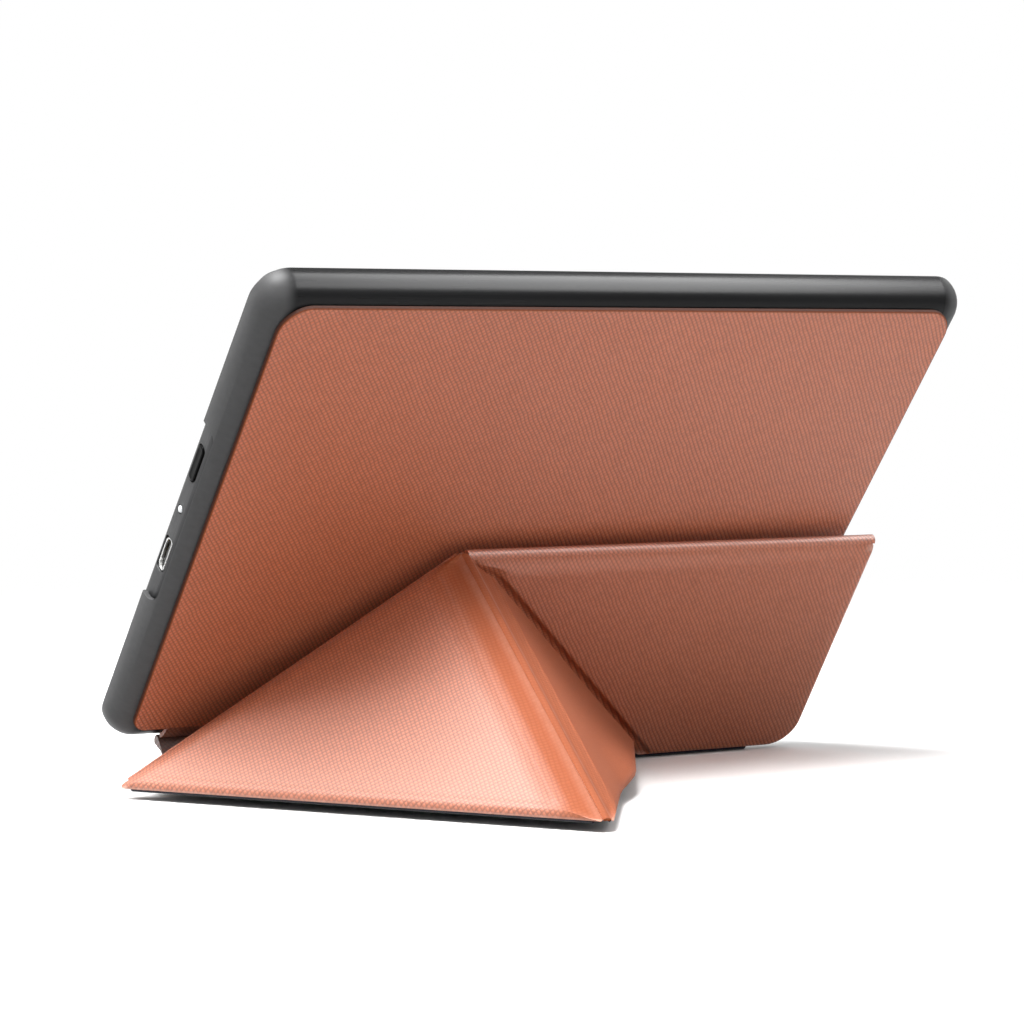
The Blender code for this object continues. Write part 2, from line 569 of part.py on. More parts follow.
# Midframe on the housing's bosses, with a screw in each
midframe_plate = rounded_box(CAVITY_LENGTH - 2 * MIDFRAME_MARGIN, CAVITY_WIDTH - 2 * MIDFRAME_MARGIN,
                             MIDFRAME_BACK, MIDFRAME_FRONT, READER_CORNER / 2)
midframe = place("midframe", midframe_plate, stand, BARE_METAL)
for number, (x, y) in enumerate(SCREW_PLACES, 1):
    cut(midframe, rod(SCREW_RADIUS + SLIDE_GAP, (x, y, MIDFRAME_FRONT - GAP), (x, y, MIDFRAME_BACK + GAP)))
    seat = MIDFRAME_FRONT - LAYER_GAP
    head = rod(SCREW_HEAD_RADIUS, (x, y, seat), (x, y, seat - SCREW_HEAD_HEIGHT))
    screw = place("midframe_screw_%d" % number, head, stand, BARE_METAL)
    shank = rod(SCREW_RADIUS, (x, y, seat - SCREW_HEAD_HEIGHT / 2), (x, y, seat + SCREW_LENGTH), FEW_SIDES)
    join(screw, shank)

# Battery on the housing floor, beside the board
battery_x = BOARD_END + BOARD_LENGTH + GAP + BATTERY_LENGTH / 2
battery_corners = rectangle((battery_x, MID_WIDTH), BATTERY_LENGTH, BATTERY_WIDTH)
cell_back = HOUSING_FLOOR - GAP
cell = prism(rounded(battery_corners, [BATTERY_CORNER] * 4), cell_back - BATTERY_THICKNESS, cell_back)
place("battery", cell, stand, SILVER_FOIL)

# Main board on its standoffs, with a shield can
place("main_board", block((BOARD_LENGTH, BOARD_WIDTH, BOARD_THICKNESS),
                          (board_mid, MID_WIDTH, (BOARD_BACK + BOARD_FRONT) / 2)), stand, GREEN_BOARD)
shield_z = BOARD_FRONT - LAYER_GAP - SHIELD_HEIGHT / 2
can = block((SHIELD_SIZE, SHIELD_SIZE, SHIELD_HEIGHT), (board_mid, MID_WIDTH + SHIELD_SIZE / 2, shield_z))
place("shield_can", can, stand, BARE_METAL)

# Socket: a rolled metal tube on the board's front, open at the reader's end, round a plastic tongue
socket_mouth = READER_END + GAP
socket_tube = end_prism(rounded(socket_corners, socket_radii), socket_mouth, SOCKET_DEPTH)
socket = place("usb_receptacle", socket_tube, stand, BARE_METAL)
bore_outline = rounded(inset(socket_corners, [SOCKET_WALL] * 4), shrunk(socket_radii, SOCKET_WALL))
cut(socket, end_prism(bore_outline, socket_mouth - OVERCUT, OVERCUT + SOCKET_DEPTH - SOCKET_BACK))
tongue_depth = SOCKET_DEPTH - SOCKET_BACK - LAYER_GAP - TONGUE_SETBACK
tongue_x = socket_mouth + TONGUE_SETBACK + tongue_depth / 2
tongue = block((tongue_depth, TONGUE_LENGTH, TONGUE_THICKNESS), (tongue_x, SOCKET_PLACE, PORT_HEIGHT))
place("usb_tongue", tongue, stand, READER_PLASTIC)
socket_notch = (SOCKET_DEPTH + 2 * GAP, SOCKET_LENGTH + 2 * GAP, OVERCUT)
cut(midframe, block(socket_notch, (socket_mouth + SOCKET_DEPTH / 2, SOCKET_PLACE, MIDFRAME_BACK)))

# Power button: a bar through the housing wall, held by a flange, over a tact switch on the board
flange_x = INNER_END + GAP + BUTTON_FLANGE_THICKNESS / 2
button_reach = flange_x - (READER_END - BUTTON_PROUD)
press = frame("power_button_frame", stand, Vector((READER_END, BUTTON_PLACE, PORT_HEIGHT)), 0, X_AXIS)
button_face = rounded(rectangle((0, 0), BUTTON_LENGTH, BUTTON_HEIGHT), [BUTTON_CORNER] * 4)
button = place("power_button", end_prism(button_face, -BUTTON_PROUD, button_reach), press, BLACK_PLASTIC)
flange_size = (BUTTON_FLANGE_THICKNESS, BUTTON_LENGTH + 2 * BUTTON_FLANGE, BUTTON_HEIGHT + 2 * BUTTON_FLANGE)
join(button, block(flange_size, (flange_x - READER_END, 0, 0)))
switch_x = flange_x + BUTTON_FLANGE_THICKNESS / 2 + BUTTON_TRAVEL + LAYER_GAP + SWITCH_DEPTH / 2
switch_z = BOARD_FRONT - LAYER_GAP - SWITCH_HEIGHT / 2
switch = block((SWITCH_DEPTH, SWITCH_LENGTH, SWITCH_HEIGHT), (switch_x, BUTTON_PLACE, switch_z))
place("tact_switch", switch, stand, BARE_METAL)

# Status light: a clear plug through the wall
pipe_end = INNER_END + GAP
plug = rod(LIGHT_RADIUS, (READER_END, LIGHT_PLACE, PORT_HEIGHT), (pipe_end + GAP, LIGHT_PLACE, PORT_HEIGHT),
           FEW_SIDES)
pipe = place("status_light_pipe", plug, stand, CLEAR_SHEET)
join(pipe, rod(LIGHT_FLANGE_RADIUS, (pipe_end, LIGHT_PLACE, PORT_HEIGHT),
               (pipe_end + BUTTON_FLANGE_THICKNESS, LIGHT_PLACE, PORT_HEIGHT), FEW_SIDES))


# Cover panels: a leather tray round a stiff board, closed by the lining
ROLLED = "rolled"
VALLEY = "valley"
MET = "met"
WIDE = "wide"
FREE = "free"
MEETING = FOLD_RADIUS + GAP
WIDE_MEETING = FOLD_RADIUS + WIDE_CREASE_GAP
LEATHER_INSET = {ROLLED: 0, VALLEY: 0, MET: MEETING, WIDE: WIDE_MEETING, FREE: 0}
LINING_INSET = {ROLLED: MEETING, VALLEY: MEETING, MET: MEETING, WIDE: WIDE_MEETING, FREE: LINING_HEM}
TRAY_WALL = LEATHER + LAYER_GAP


def cover_panel(name, parent, origin, corners, edges, radii):
    """Build a panel's three layers from its flat corners, with the leather rolled round its own creases."""
    corners = [corner - origin for corner in corners]
    board = inset(corners, [HEM if edge == FREE else CREASE_MARGIN for edge in edges])
    pocket = inset(board, [-LAYER_GAP] * len(board))
    raised = inset(board, [-TRAY_WALL] * len(board))
    leather = rounded(inset(corners, [LEATHER_INSET[edge] for edge in edges]), radii)
    tray = place(name + "_skin", prism(leather, LEATHER_IN - LEATHER, LEATHER_IN), parent, BROWN_LEATHER)
    crown = rounded(raised, shrunk(radii, HEM - TRAY_WALL))
    join(tray, prism(crown, PANEL_FACE, LEATHER_IN - LEATHER / 2, EDGE_ROUND))
    cut(tray, prism(rounded(pocket, shrunk(radii, HEM - LAYER_GAP)), STIFFENER_OUT - LAYER_GAP, LINING_OUT))
    for index, edge in enumerate(edges):
        if edge == ROLLED:
            start = corners[index]
            end = corners[(index + 1) % len(corners)]
            along = (end - start).normalized()
            start = start + along * CREASE_MARGIN
            end = end - along * CREASE_MARGIN
            join(tray, rod(FOLD_RADIUS, (*start, 0), (*end, 0), FEW_SIDES))
    core = prism(rounded(board, shrunk(radii, HEM)), STIFFENER_OUT, LEATHER_IN)
    stiffener = place(name + "_board", core, parent, GREY_BOARD)
    lining = rounded(inset(corners, [LINING_INSET[edge] for edge in edges]), shrunk(radii, LINING_HEM))
    place(name + "_lining", prism(lining, LINING_IN, LINING_OUT), parent, DARK_LINING)
    return stiffener


cover_panel("hinge_panel", hinge, Vector((0, 0)), [SPINE_CORNER, SPINE_END, STEM_END, VERTEX],
            [WIDE, FREE, ROLLED, ROLLED], [0, FREE_CORNER / 3, 0, 0])
flap_board = cover_panel("flap_panel", flap, VERTEX, [VERTEX, STEM_END, FREE_OUTER, GROOVE_END],
                         [MET, FREE, FREE, VALLEY], [0, 0, FREE_CORNER, 0])
cover_panel("leg_panel", leg, VERTEX, [SPINE_CORNER, VERTEX, LEG_TIP], [MET, ROLLED, FREE],
            [0, 0, LEG_TIP_ROUND])
cover_panel("brace_panel", brace, VERTEX, [VERTEX, GROOVE_END, RIDGE_END], [MET, FREE, WIDE], [0, 0, 0])

# Magnets let into the flap's board from its lining side
for name, middle in (("wake_magnet", WAKE_MAGNET), ("closing_magnet", CLOSING_MAGNET)):
    centre = middle - VERTEX
    top = LEATHER_IN - LAYER_GAP
    pit = (*centre, top - MAGNET_THICKNESS - LAYER_GAP)
    cut(flap_board, rod(MAGNET_RADIUS + LAYER_GAP, pit, (*centre, LINING_OUT), MAGNET_SIDES))
    disc = rod(MAGNET_RADIUS, (*centre, top - MAGNET_THICKNESS), (*centre, top), MAGNET_SIDES)
    place(name, disc, flap, BARE_METAL)

# Spine strip: soft leather and lining between the case and the cover, rolled at both hinge lines
spine_x = SPINE_LENGTH / 2
spine_corners = [Vector((-spine_x, 0)), Vector((spine_x, 0)), Vector((spine_x, SPINE_WIDTH)),
                 Vector((-spine_x, SPINE_WIDTH))]
spine_skin = place("spine_skin", prism(spine_corners, LEATHER_IN - LEATHER, LEATHER_IN), spine, BROWN_LEATHER)
for y in (0, SPINE_WIDTH):
    join(spine_skin, rod(FOLD_RADIUS, (-spine_x, y, 0), (spine_x, y, 0), FEW_SIDES))
spine_strip = inset(spine_corners, [MEETING, LINING_HEM, MEETING, LINING_HEM])
place("spine_lining", prism(spine_strip, LINING_IN, LINING_OUT), spine, DARK_LINING)


# Set the whole object down with its lowest edge on the ground and its plan centred
def settle(root):
    bpy.context.view_layer.update()
    depsgraph = bpy.context.evaluated_depsgraph_get()
    corners = []
    for piece in parts.objects:
        solid = piece.evaluated_get(depsgraph)
        corners += [solid.matrix_world @ vert.co for vert in solid.data.vertices]
    low = [min(corner[axis] for corner in corners) for axis in range(3)]
    high = [max(corner[axis] for corner in corners) for axis in range(3)]
    root.location -= Vector(((low[0] + high[0]) / 2, (low[1] + high[1]) / 2, low[2]))
    bpy.context.view_layer.update()


settle(stand)
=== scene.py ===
import math

import bmesh
import bpy
from mathutils import Matrix, Vector


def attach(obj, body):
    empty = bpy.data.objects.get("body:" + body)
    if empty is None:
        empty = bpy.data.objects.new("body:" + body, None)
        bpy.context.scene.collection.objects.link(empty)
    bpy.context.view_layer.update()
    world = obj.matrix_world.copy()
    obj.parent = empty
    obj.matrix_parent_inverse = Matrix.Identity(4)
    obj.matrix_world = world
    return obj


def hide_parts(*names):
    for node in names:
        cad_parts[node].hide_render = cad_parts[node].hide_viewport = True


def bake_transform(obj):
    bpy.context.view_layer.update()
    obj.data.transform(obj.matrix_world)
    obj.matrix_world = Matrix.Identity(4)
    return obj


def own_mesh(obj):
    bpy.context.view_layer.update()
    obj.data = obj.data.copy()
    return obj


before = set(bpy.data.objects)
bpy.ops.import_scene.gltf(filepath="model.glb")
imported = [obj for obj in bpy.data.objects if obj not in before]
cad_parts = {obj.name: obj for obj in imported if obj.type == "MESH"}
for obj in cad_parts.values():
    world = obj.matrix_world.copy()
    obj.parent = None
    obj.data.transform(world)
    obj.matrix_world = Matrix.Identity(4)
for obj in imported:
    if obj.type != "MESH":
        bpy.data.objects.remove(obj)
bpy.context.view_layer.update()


# Inside of the reader: a stamped midframe on four screws, with the green main board, its shield can and
# switch, and a foil cell behind it, and the lamp strip beside the light guide in front. All of it is
# closed in by the housing and the bezel.
class Tone:
    """One socket of a finish, so that its numbers add, scale and compare like plain ones."""

    def __init__(self, tree, socket=None):
        self.tree = tree
        self.socket = socket

    def node(self, kind, settings=None, inputs=None, out=0):
        """Add a node: its settings first, then the values or links of its sockets. Returns one output."""
        made = self.tree.nodes.new("ShaderNode" + kind)
        for name, value in (settings or {}).items():
            setattr(made, name, value)
        for key, value in (inputs or {}).items():
            if isinstance(value, Tone):
                self.tree.links.new(value.socket, made.inputs[key])
            else:
                made.inputs[key].default_value = value
        return Tone(self.tree, made.outputs[out])

    def maths(self, operation, *values):
        return self.node("Math", {"operation": operation}, dict(enumerate(values)))

    def __add__(self, other):
        return self.maths("ADD", self, other)

    __radd__ = __add__

    def __sub__(self, other):
        return self.maths("SUBTRACT", self, other)

    def __rsub__(self, other):
        return self.maths("SUBTRACT", other, self)

    def __mul__(self, other):
        return self.maths("MULTIPLY", self, other)

    __rmul__ = __mul__

    def noise(self, place, scale, detail=2.0, roughness=0.5):
        return self.node("TexNoise", None, {"Vector": place, "Scale": scale, "Detail": detail,
                                            "Roughness": roughness})

    def mix(self, share, first, second):
        """A colour between two colours."""
        return self.node("Mix", {"data_type": "RGBA"}, {"Factor": share, 6: first, 7: second}, 2)

    def ease(self, value, start, end, first=0.0, last=1.0):
        """A soft step between two values of a number."""
        return self.node("MapRange", {"interpolation_type": "SMOOTHSTEP"}, {
            "Value": value, "From Min": start, "From Max": end, "To Min": first, "To Max": last})

    def bump(self, height, strength, distance):
        return self.node("Bump", None, {"Height": height, "Strength": strength, "Distance": distance})

    def object_place(self):
        return self.node("TexCoord", None, None, "Object")


def colour(red, green, blue):
    return (red, green, blue, 1.0)


def finish(name, constants, varying):
    """A material: plain numbers on its shader's own sockets, and what varies over the surface linked in."""
    made = bpy.data.materials.new(name)
    made.use_nodes = True
    tree = made.node_tree
    shader = tree.nodes["Principled BSDF"]
    for socket, value in constants.items():
        shader.inputs[socket].default_value = value
    for socket, tone in varying(Tone(tree)).items():
        tree.links.new(tone.socket, shader.inputs[socket])
    return made


ROUGH_SWING = 0.12
GRAIN_STRENGTH = 0.6


def mottled(dark, pale, scale, rough, grain, depth):
    """Varying sockets of a plain finish: two tones in soft patches, with a fine grain of some depth."""
    def sockets(paint):
        place = paint.object_place()
        patch = paint.noise(place, scale, 3.0)
        fine = paint.noise(place, grain, 2.0, 0.6)
        return {"Base Color": paint.mix(patch, colour(*dark), colour(*pale)),
                "Roughness": rough + ROUGH_SWING * (fine - 0.5),
                "Normal": paint.bump(fine, GRAIN_STRENGTH, depth)}
    return sockets


def coat_node(finish_made, *nodes):
    """Give CAD solids that keep their own shape a finish."""
    for node in nodes:
        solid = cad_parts[node]
        for slot in solid.material_slots:
            slot.material = finish_made
        if not solid.material_slots:
            solid.data.materials.append(finish_made)


stamped_alloy = finish("stamped_alloy", {"Metallic": 1.0},
                       mottled((0.50, 0.50, 0.51), (0.66, 0.66, 0.67), 60, 0.42, 2200, 0.00004))
coat_node(stamped_alloy, "midframe", "shield_can", "tact_switch")
screw_steel = finish("screw_steel", {"Metallic": 1.0},
                     mottled((0.42, 0.41, 0.40), (0.55, 0.54, 0.53), 300, 0.32, 5000, 0.00002))
coat_node(screw_steel, *["midframe_screw_%d" % number for number in range(1, 5)])


def board_tracks(paint):
    place = paint.object_place()
    tracks = paint.node("TexBrick", {"offset": 0.35}, {
        "Vector": place, "Scale": 420.0, "Mortar Size": 0.06, "Color1": colour(0.012, 0.09, 0.04),
        "Color2": colour(0.016, 0.12, 0.055), "Mortar": colour(0.05, 0.22, 0.11)})
    etched = paint.noise(place, 900, 2.0)
    return {"Base Color": tracks, "Roughness": 0.38 + 0.2 * etched, "Normal": paint.bump(etched, 0.4, 0.00003)}


coat_node(finish("green_solder_mask", {"Coat Roughness": 0.2}, board_tracks), "main_board", "front_light_strip")


def creased_foil(paint):
    place = paint.object_place()
    crease = paint.node("TexVoronoi", {"feature": "DISTANCE_TO_EDGE"}, {"Vector": place, "Scale": 90.0})
    dull = paint.noise(place, 40, 3.0)
    return {"Base Color": paint.mix(dull, colour(0.50, 0.51, 0.53), colour(0.68, 0.69, 0.71)),
            "Roughness": 0.3 + 0.25 * dull, "Normal": paint.bump(crease, 0.3, 0.0003)}


coat_node(finish("cell_foil", {"Metallic": 0.7}, creased_foil), "battery")


# Rear housing: the reader's dark soft-touch tub, 169 by 117 mm with bull-nose edges. It is moulded in one
# piece, with slots in its bottom end for the button, the status light and the charging socket.
MM = 0.001
CASE_PLACE = Vector((0.0, 0.049852, 0.009232))
LEAN = math.radians(51.2174)
CASE_FRAME = Matrix.Translation(CASE_PLACE) @ Matrix.Rotation(math.pi - LEAN, 4, "X")
MIDDLE = (0.0, 59.9)
READER_SIZE = (169.0, 117.0)
READER_CORNER = 5.6
READER_BACK = -2.5
READER_FRONT = -11.6
BACK_ROUND = 4.3
FRONT_ROUND = 4.2
SEAM_BACK = -10.4
SEAM_FRONT = -10.62
CAVITY_INSET = 2.7
CAVITY_FLOOR = -3.8
PORT_HEIGHT = -7.0
BUTTON_AT = 72.0
LIGHT_AT = 60.1
SOCKET_AT = 48.4
READER_END = -84.5
BUTTON_SLOT = (9.0, 2.9)
LIGHT_HOLE = (2.0, 2.0)
SOCKET_SLOT = (8.4, 3.2)
PORT_REACH = 5
PORT_EDGE = 0.12
FLAT_STEP = 3
LEAST_CORNER = 0.4
ARC_STEPS = 12


def rounded_ring(size, corner, height, middle=MIDDLE):
    """Points of a rectangle at one height, with one corner size for all four or a size for each."""
    corners = corner if isinstance(corner, tuple) else (corner,) * 4
    points = []
    for turn, (sx, sy) in enumerate(((1, 1), (-1, 1), (-1, -1), (1, -1))):
        reach = corners[turn]
        x = middle[0] + sx * (size[0] / 2 - reach)
        y = middle[1] + sy * (size[1] / 2 - reach)
        for step in range(ARC_STEPS + 1):
            angle = (turn + step / ARC_STEPS) * math.pi / 2
            points.append(Vector((x + reach * math.cos(angle), y + reach * math.sin(angle), height)))
    return points


def grown(size, by):
    """A pair of sizes, larger by a margin on every side."""
    return (size[0] + 2 * by, size[1] + 2 * by)


def ring_stack(section, size, corner):
    """Rings of one rectangle, from pairs of inset and height."""
    return [rounded_ring(grown(size, -inset), max(corner - inset, LEAST_CORNER), height) for inset, height in section]


def arc(radius, start, end, steps=ARC_STEPS):
    """Points on a circle between two angles in degrees, as pairs."""
    angles = [math.radians(start + (end - start) * step / steps) for step in range(steps + 1)]
    return [(radius * math.cos(angle), radius * math.sin(angle)) for angle in angles]


def bend(across, up, radius, start, end, steps=ARC_STEPS):
    """A section's turn about a middle, between two angles, as pairs of inset and height."""
    return [(across - reach, up + rise) for reach, rise in arc(radius, start, end, steps)]


def loft(rings, loop=False):
    """Skin a row of equal rings, with both ends capped or the last ring joined to the first."""
    builder = bmesh.new()
    rows = [[builder.verts.new(point) for point in ring] for ring in rings]
    pairs = list(zip(rows, rows[1:]))
    if loop:
        pairs.append((rows[-1], rows[0]))
    for low, high in pairs:
        for index in range(len(low)):
            builder.faces.new((low[index - 1], low[index], high[index], high[index - 1]))
    if not loop:
        builder.faces.new(rows[0])
        builder.faces.new(rows[-1])
    bmesh.ops.remove_doubles(builder, verts=builder.verts, dist=1e-5)
    bmesh.ops.recalc_face_normals(builder, faces=builder.faces)
    mesh = bpy.data.meshes.new("form")
    builder.to_mesh(mesh)
    builder.free()
    return mesh


def put(name, data):
    """Set a mesh, a lamp or a camera out in the scene."""
    made = bpy.data.objects.new(name, data)
    bpy.context.scene.collection.objects.link(made)
    return made


def plain_mesh(worked):
    """The mesh that an object's modifiers make of it."""
    bpy.context.view_layer.update()
    return bpy.data.meshes.new_from_object(worked.evaluated_get(bpy.context.evaluated_depsgraph_get()))


def carve(mesh, tools, edge_round):
    """Cut the tools out of a form, and soften the edges that the cuts leave."""
    body = put("form", mesh)
    knives = [put("knife", tool) for tool in tools]
    for knife in knives:
        cut = body.modifiers.new("cut", "BOOLEAN")
        cut.operation = "DIFFERENCE"
        cut.solver = "EXACT"
        cut.object = knife
    soften = body.modifiers.new("soften", "BEVEL")
    soften.width = edge_round
    soften.segments = 2
    soften.limit_method = "ANGLE"
    soften.angle_limit = math.radians(50)
    carved = plain_mesh(body)
    for used in [body, *knives]:
        bpy.data.objects.remove(used)
    return carved


def piece(name, mesh, place, made_of, sharp=38):
    """Set a form that was drawn in millimetres into its frame, smooth it and give it its finish."""
    mesh.transform(place @ Matrix.Scale(MM, 4))
    mesh.name = name
    mesh.materials.clear()
    mesh.materials.append(made_of)
    mesh.polygons.foreach_set("use_smooth", [True] * len(mesh.polygons))
    mesh.polygons.foreach_set("material_index", [0] * len(mesh.polygons))
    mesh.set_sharp_from_angle(angle=math.radians(sharp))
    made = put(name, mesh)
    return made


END_TURN = Matrix(((0, 0, 1, 0), (1, 0, 0, 0), (0, 1, 0, 0), (0, 0, 0, 1)))


def end_ring(size, corner, x, middle):
    """A rounded rectangle drawn on the reader's bottom end: width and height across, x as its depth."""
    return [END_TURN @ point for point in rounded_ring(size, corner, x, middle)]


front_turn = READER_FRONT + FRONT_ROUND
seam_angle = math.degrees(math.asin((SEAM_BACK - front_turn) / FRONT_ROUND))
housing_section = [(BACK_ROUND + FLAT_STEP, READER_BACK)]
housing_section += bend(BACK_ROUND, READER_BACK - BACK_ROUND, BACK_ROUND, 90, 0)
housing_section += bend(FRONT_ROUND, front_turn, FRONT_ROUND, 0, seam_angle)
housing_section += [(CAVITY_INSET, SEAM_BACK), (CAVITY_INSET, CAVITY_FLOOR)]
housing_form = loft(ring_stack(housing_section, READER_SIZE, READER_CORNER))
port_cuts = []
for size, corner, at in ((BUTTON_SLOT, 1.25, BUTTON_AT), (LIGHT_HOLE, 0.99, LIGHT_AT), (SOCKET_SLOT, 1.0, SOCKET_AT)):
    port_cuts.append(loft([end_ring(size, corner, READER_END + depth, (at, PORT_HEIGHT))
                           for depth in (-PORT_REACH, PORT_REACH)]))
soft_touch = finish("soft_touch_plastic", {"Specular IOR Level": 0.3},
                    mottled((0.010, 0.010, 0.011), (0.015, 0.015, 0.016), 45, 0.55, 3800, 0.00003))
housing = piece("housing_tub", carve(housing_form, port_cuts, PORT_EDGE), CASE_FRAME, soft_touch)
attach(housing, "reader_case")
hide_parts("rear_housing")


# Front bezel and screen: a moulded frame round the recessed six-inch paper screen, with a wider chin at the
# bottom end. Behind its window lie a clear lens, the light guide and the pale grey display.
WINDOW = (124.0, 93.0)
WINDOW_MIDDLE = (7.0, 59.9)
WINDOW_CORNER = 0.7
WINDOW_ROUND = 0.35
WINDOW_FLAT = 1.5
WINDOW_STEP = 0.5
BEZEL_FLAT = 2


def window_ring(margin, height):
    """The window's outline at one height, larger by a margin."""
    return rounded_ring(grown(WINDOW, margin), WINDOW_CORNER + margin, height, WINDOW_MIDDLE)


start_angle = math.degrees(math.asin((SEAM_FRONT - front_turn) / FRONT_ROUND))
bezel_section = bend(FRONT_ROUND, front_turn, FRONT_ROUND, start_angle, -90)
bezel_section.append((FRONT_ROUND + BEZEL_FLAT, READER_FRONT))
bezel_rings = ring_stack(bezel_section, READER_SIZE, READER_CORNER)
bezel_rings.append(window_ring(WINDOW_FLAT, READER_FRONT))
bezel_rings += [window_ring(WINDOW_ROUND + across, READER_FRONT + WINDOW_ROUND + up)
                for across, up in arc(WINDOW_ROUND, -90, -180, 4)]
bezel_rings.append(window_ring(0.0, SEAM_FRONT - 0.05))
bezel_rings.append(rounded_ring(grown(WINDOW, WINDOW_STEP), WINDOW_CORNER, SEAM_FRONT, WINDOW_MIDDLE))
bezel = piece("screen_bezel", loft(bezel_rings, loop=True), CASE_FRAME, soft_touch)
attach(bezel, "reader_case")
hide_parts("front_bezel")


def clear_film(paint):
    smear = paint.noise(paint.object_place(), 30, 3.0)
    return {"Roughness": 0.34 + 0.1 * smear, "Alpha": 0.1 + 0.04 * smear}


lens_film = finish("matt_lens_film", {"Base Color": colour(0.62, 0.63, 0.64)}, clear_film)
coat_node(lens_film, "screen_lens", "light_guide")


def paper_screen(paint):
    place = paint.object_place()
    speck = paint.noise(place, 5200, 2.0, 0.7)
    cloud = paint.noise(place, 18, 2.0)
    return {"Base Color": paint.mix(0.7 * speck + 0.3 * cloud, colour(0.50, 0.50, 0.47), colour(0.60, 0.60, 0.57)),
            "Roughness": 0.72 + 0.1 * speck}


coat_node(finish("paper_screen", {"Specular IOR Level": 0.3}, paper_screen), "epaper_display")


# Charging socket: a rolled bright steel tube round a black tongue, with five gilt contacts in a row on the
# tongue. It is soldered to the board's edge and looks out of the reader's bottom end.
SOCKET_MOUTH = READER_END + 0.3
SOCKET_SIZE = (7.8, 2.6)
SOCKET_DEPTH = 5.4
SOCKET_CORNERS = (0.7, 0.7, 1.3, 1.3)
SOCKET_WALL = 0.3
SOCKET_LIP = 0.1
SOCKET_FLOOR = 0.6
FIRST_BLADE = (SOCKET_MOUTH + 2.4, SOCKET_AT - 1.3, PORT_HEIGHT - 0.38)


def socket_ring(grow, x):
    """The socket's outline: square-shouldered at the top, with two wider lower corners."""
    return end_ring(grown(SOCKET_SIZE, grow), SOCKET_CORNERS, x, (SOCKET_AT, PORT_HEIGHT))


socket_rings = [socket_ring(0, SOCKET_MOUTH + SOCKET_DEPTH), socket_ring(0, SOCKET_MOUTH + SOCKET_LIP)]
for across, up in arc(SOCKET_WALL / 2, 0, 180, 6):
    socket_rings.append(socket_ring(across - SOCKET_WALL / 2, SOCKET_MOUTH + SOCKET_LIP - up))
socket_rings.append(socket_ring(-SOCKET_WALL, SOCKET_MOUTH + SOCKET_DEPTH - SOCKET_FLOOR))


def drawn_steel(paint):
    place = paint.object_place()
    drawn = paint.node("Mapping", None, {"Vector": place, "Scale": (300.0, 6000.0, 6000.0)})
    lines = paint.noise(drawn, 1.0, 2.0)
    return {"Base Color": paint.mix(lines, colour(0.16, 0.16, 0.16), colour(0.52, 0.52, 0.51)),
            "Roughness": 0.2 + 0.2 * lines}


bright_steel = finish("bright_steel", {"Metallic": 1.0}, drawn_steel)
socket_tube = piece("socket_tube", loft(socket_rings), CASE_FRAME, bright_steel)
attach(socket_tube, "reader_case")
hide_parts("usb_receptacle")
coat_node(soft_touch, "usb_tongue")


def contact_row(material):
    """Nodes that set a row of thin blades side by side: how many, how far apart and how large."""
    tree = bpy.data.node_groups.new("contact_row", "GeometryNodeTree")
    sockets = {}
    for name, kind, value in (("Count", "NodeSocketInt", 5), ("Pitch", "NodeSocketVector", (0.0, 0.65, 0.0)),
                              ("First", "NodeSocketVector", (0.0, 0.0, 0.0)),
                              ("Blade", "NodeSocketVector", (3.2, 0.34, 0.12))):
        sockets[name] = tree.interface.new_socket(name, in_out="INPUT", socket_type=kind)
        sockets[name].default_value = value
    tree.interface.new_socket("Geometry", in_out="OUTPUT", socket_type="NodeSocketGeometry")
    given = tree.nodes.new("NodeGroupInput")
    row = tree.nodes.new("GeometryNodeMeshLine")
    blade = tree.nodes.new("GeometryNodeMeshCube")
    spread = tree.nodes.new("GeometryNodeInstanceOnPoints")
    solid = tree.nodes.new("GeometryNodeRealizeInstances")
    gild = tree.nodes.new("GeometryNodeSetMaterial")
    gild.inputs["Material"].default_value = material
    result = tree.nodes.new("NodeGroupOutput")
    for start, out, end, into in (
            (given, "Count", row, "Count"), (given, "Pitch", row, "Offset"), (given, "First", row, "Start Location"),
            (given, "Blade", blade, "Size"), (row, "Mesh", spread, "Points"), (blade, "Mesh", spread, "Instance"),
            (spread, "Instances", solid, "Geometry"), (solid, "Geometry", gild, "Geometry"),
            (gild, "Geometry", result, "Geometry")):
        tree.links.new(start.outputs[out], end.inputs[into])
    return tree, sockets


gilt = finish("gilt_contact", {"Metallic": 1.0},
              mottled((0.72, 0.48, 0.16), (0.85, 0.62, 0.25), 800, 0.25, 6000, 0.00001))
row_tree, row_sockets = contact_row(gilt)
blades = put("contact_blades", bpy.data.meshes.new("contact_blades"))
row_change = blades.modifiers.new("row", "NODES")
row_change.node_group = row_tree
row_change[row_sockets["First"].identifier] = FIRST_BLADE
blade_mesh = plain_mesh(blades)
bpy.data.objects.remove(blades)
contacts = piece("socket_contacts", blade_mesh, CASE_FRAME, gilt)
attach(contacts, "reader_case")


# Power button: a black oblong bar in the reader's bottom end, with a softened rim and a shallow dish for the
# fingertip. A flange behind the wall keeps it in, and it presses a switch on the board.
BUTTON_FACE = (8.5, 2.4)
BUTTON_CORNER = 1.15
BUTTON_RIM = 0.3
BUTTON_OUT = READER_END - 0.2
BUTTON_DISH = ((0.5, 0.02), (0.75, 0.1), (1.1, 0.13))
FLANGE = (10.1, 4.0)
FLANGE_CORNER = 1.2
FLANGE_BACK = -81.1
FLANGE_FRONT = -81.5
BUTTON_MIDDLE = (BUTTON_AT, PORT_HEIGHT)
bar_section = [(0.0, FLANGE_FRONT)]
bar_section += [(BUTTON_RIM - across, BUTTON_OUT + BUTTON_RIM - up) for across, up in arc(BUTTON_RIM, 0, 90, 5)]
bar_section += [(shrink, BUTTON_OUT + dish) for shrink, dish in BUTTON_DISH]
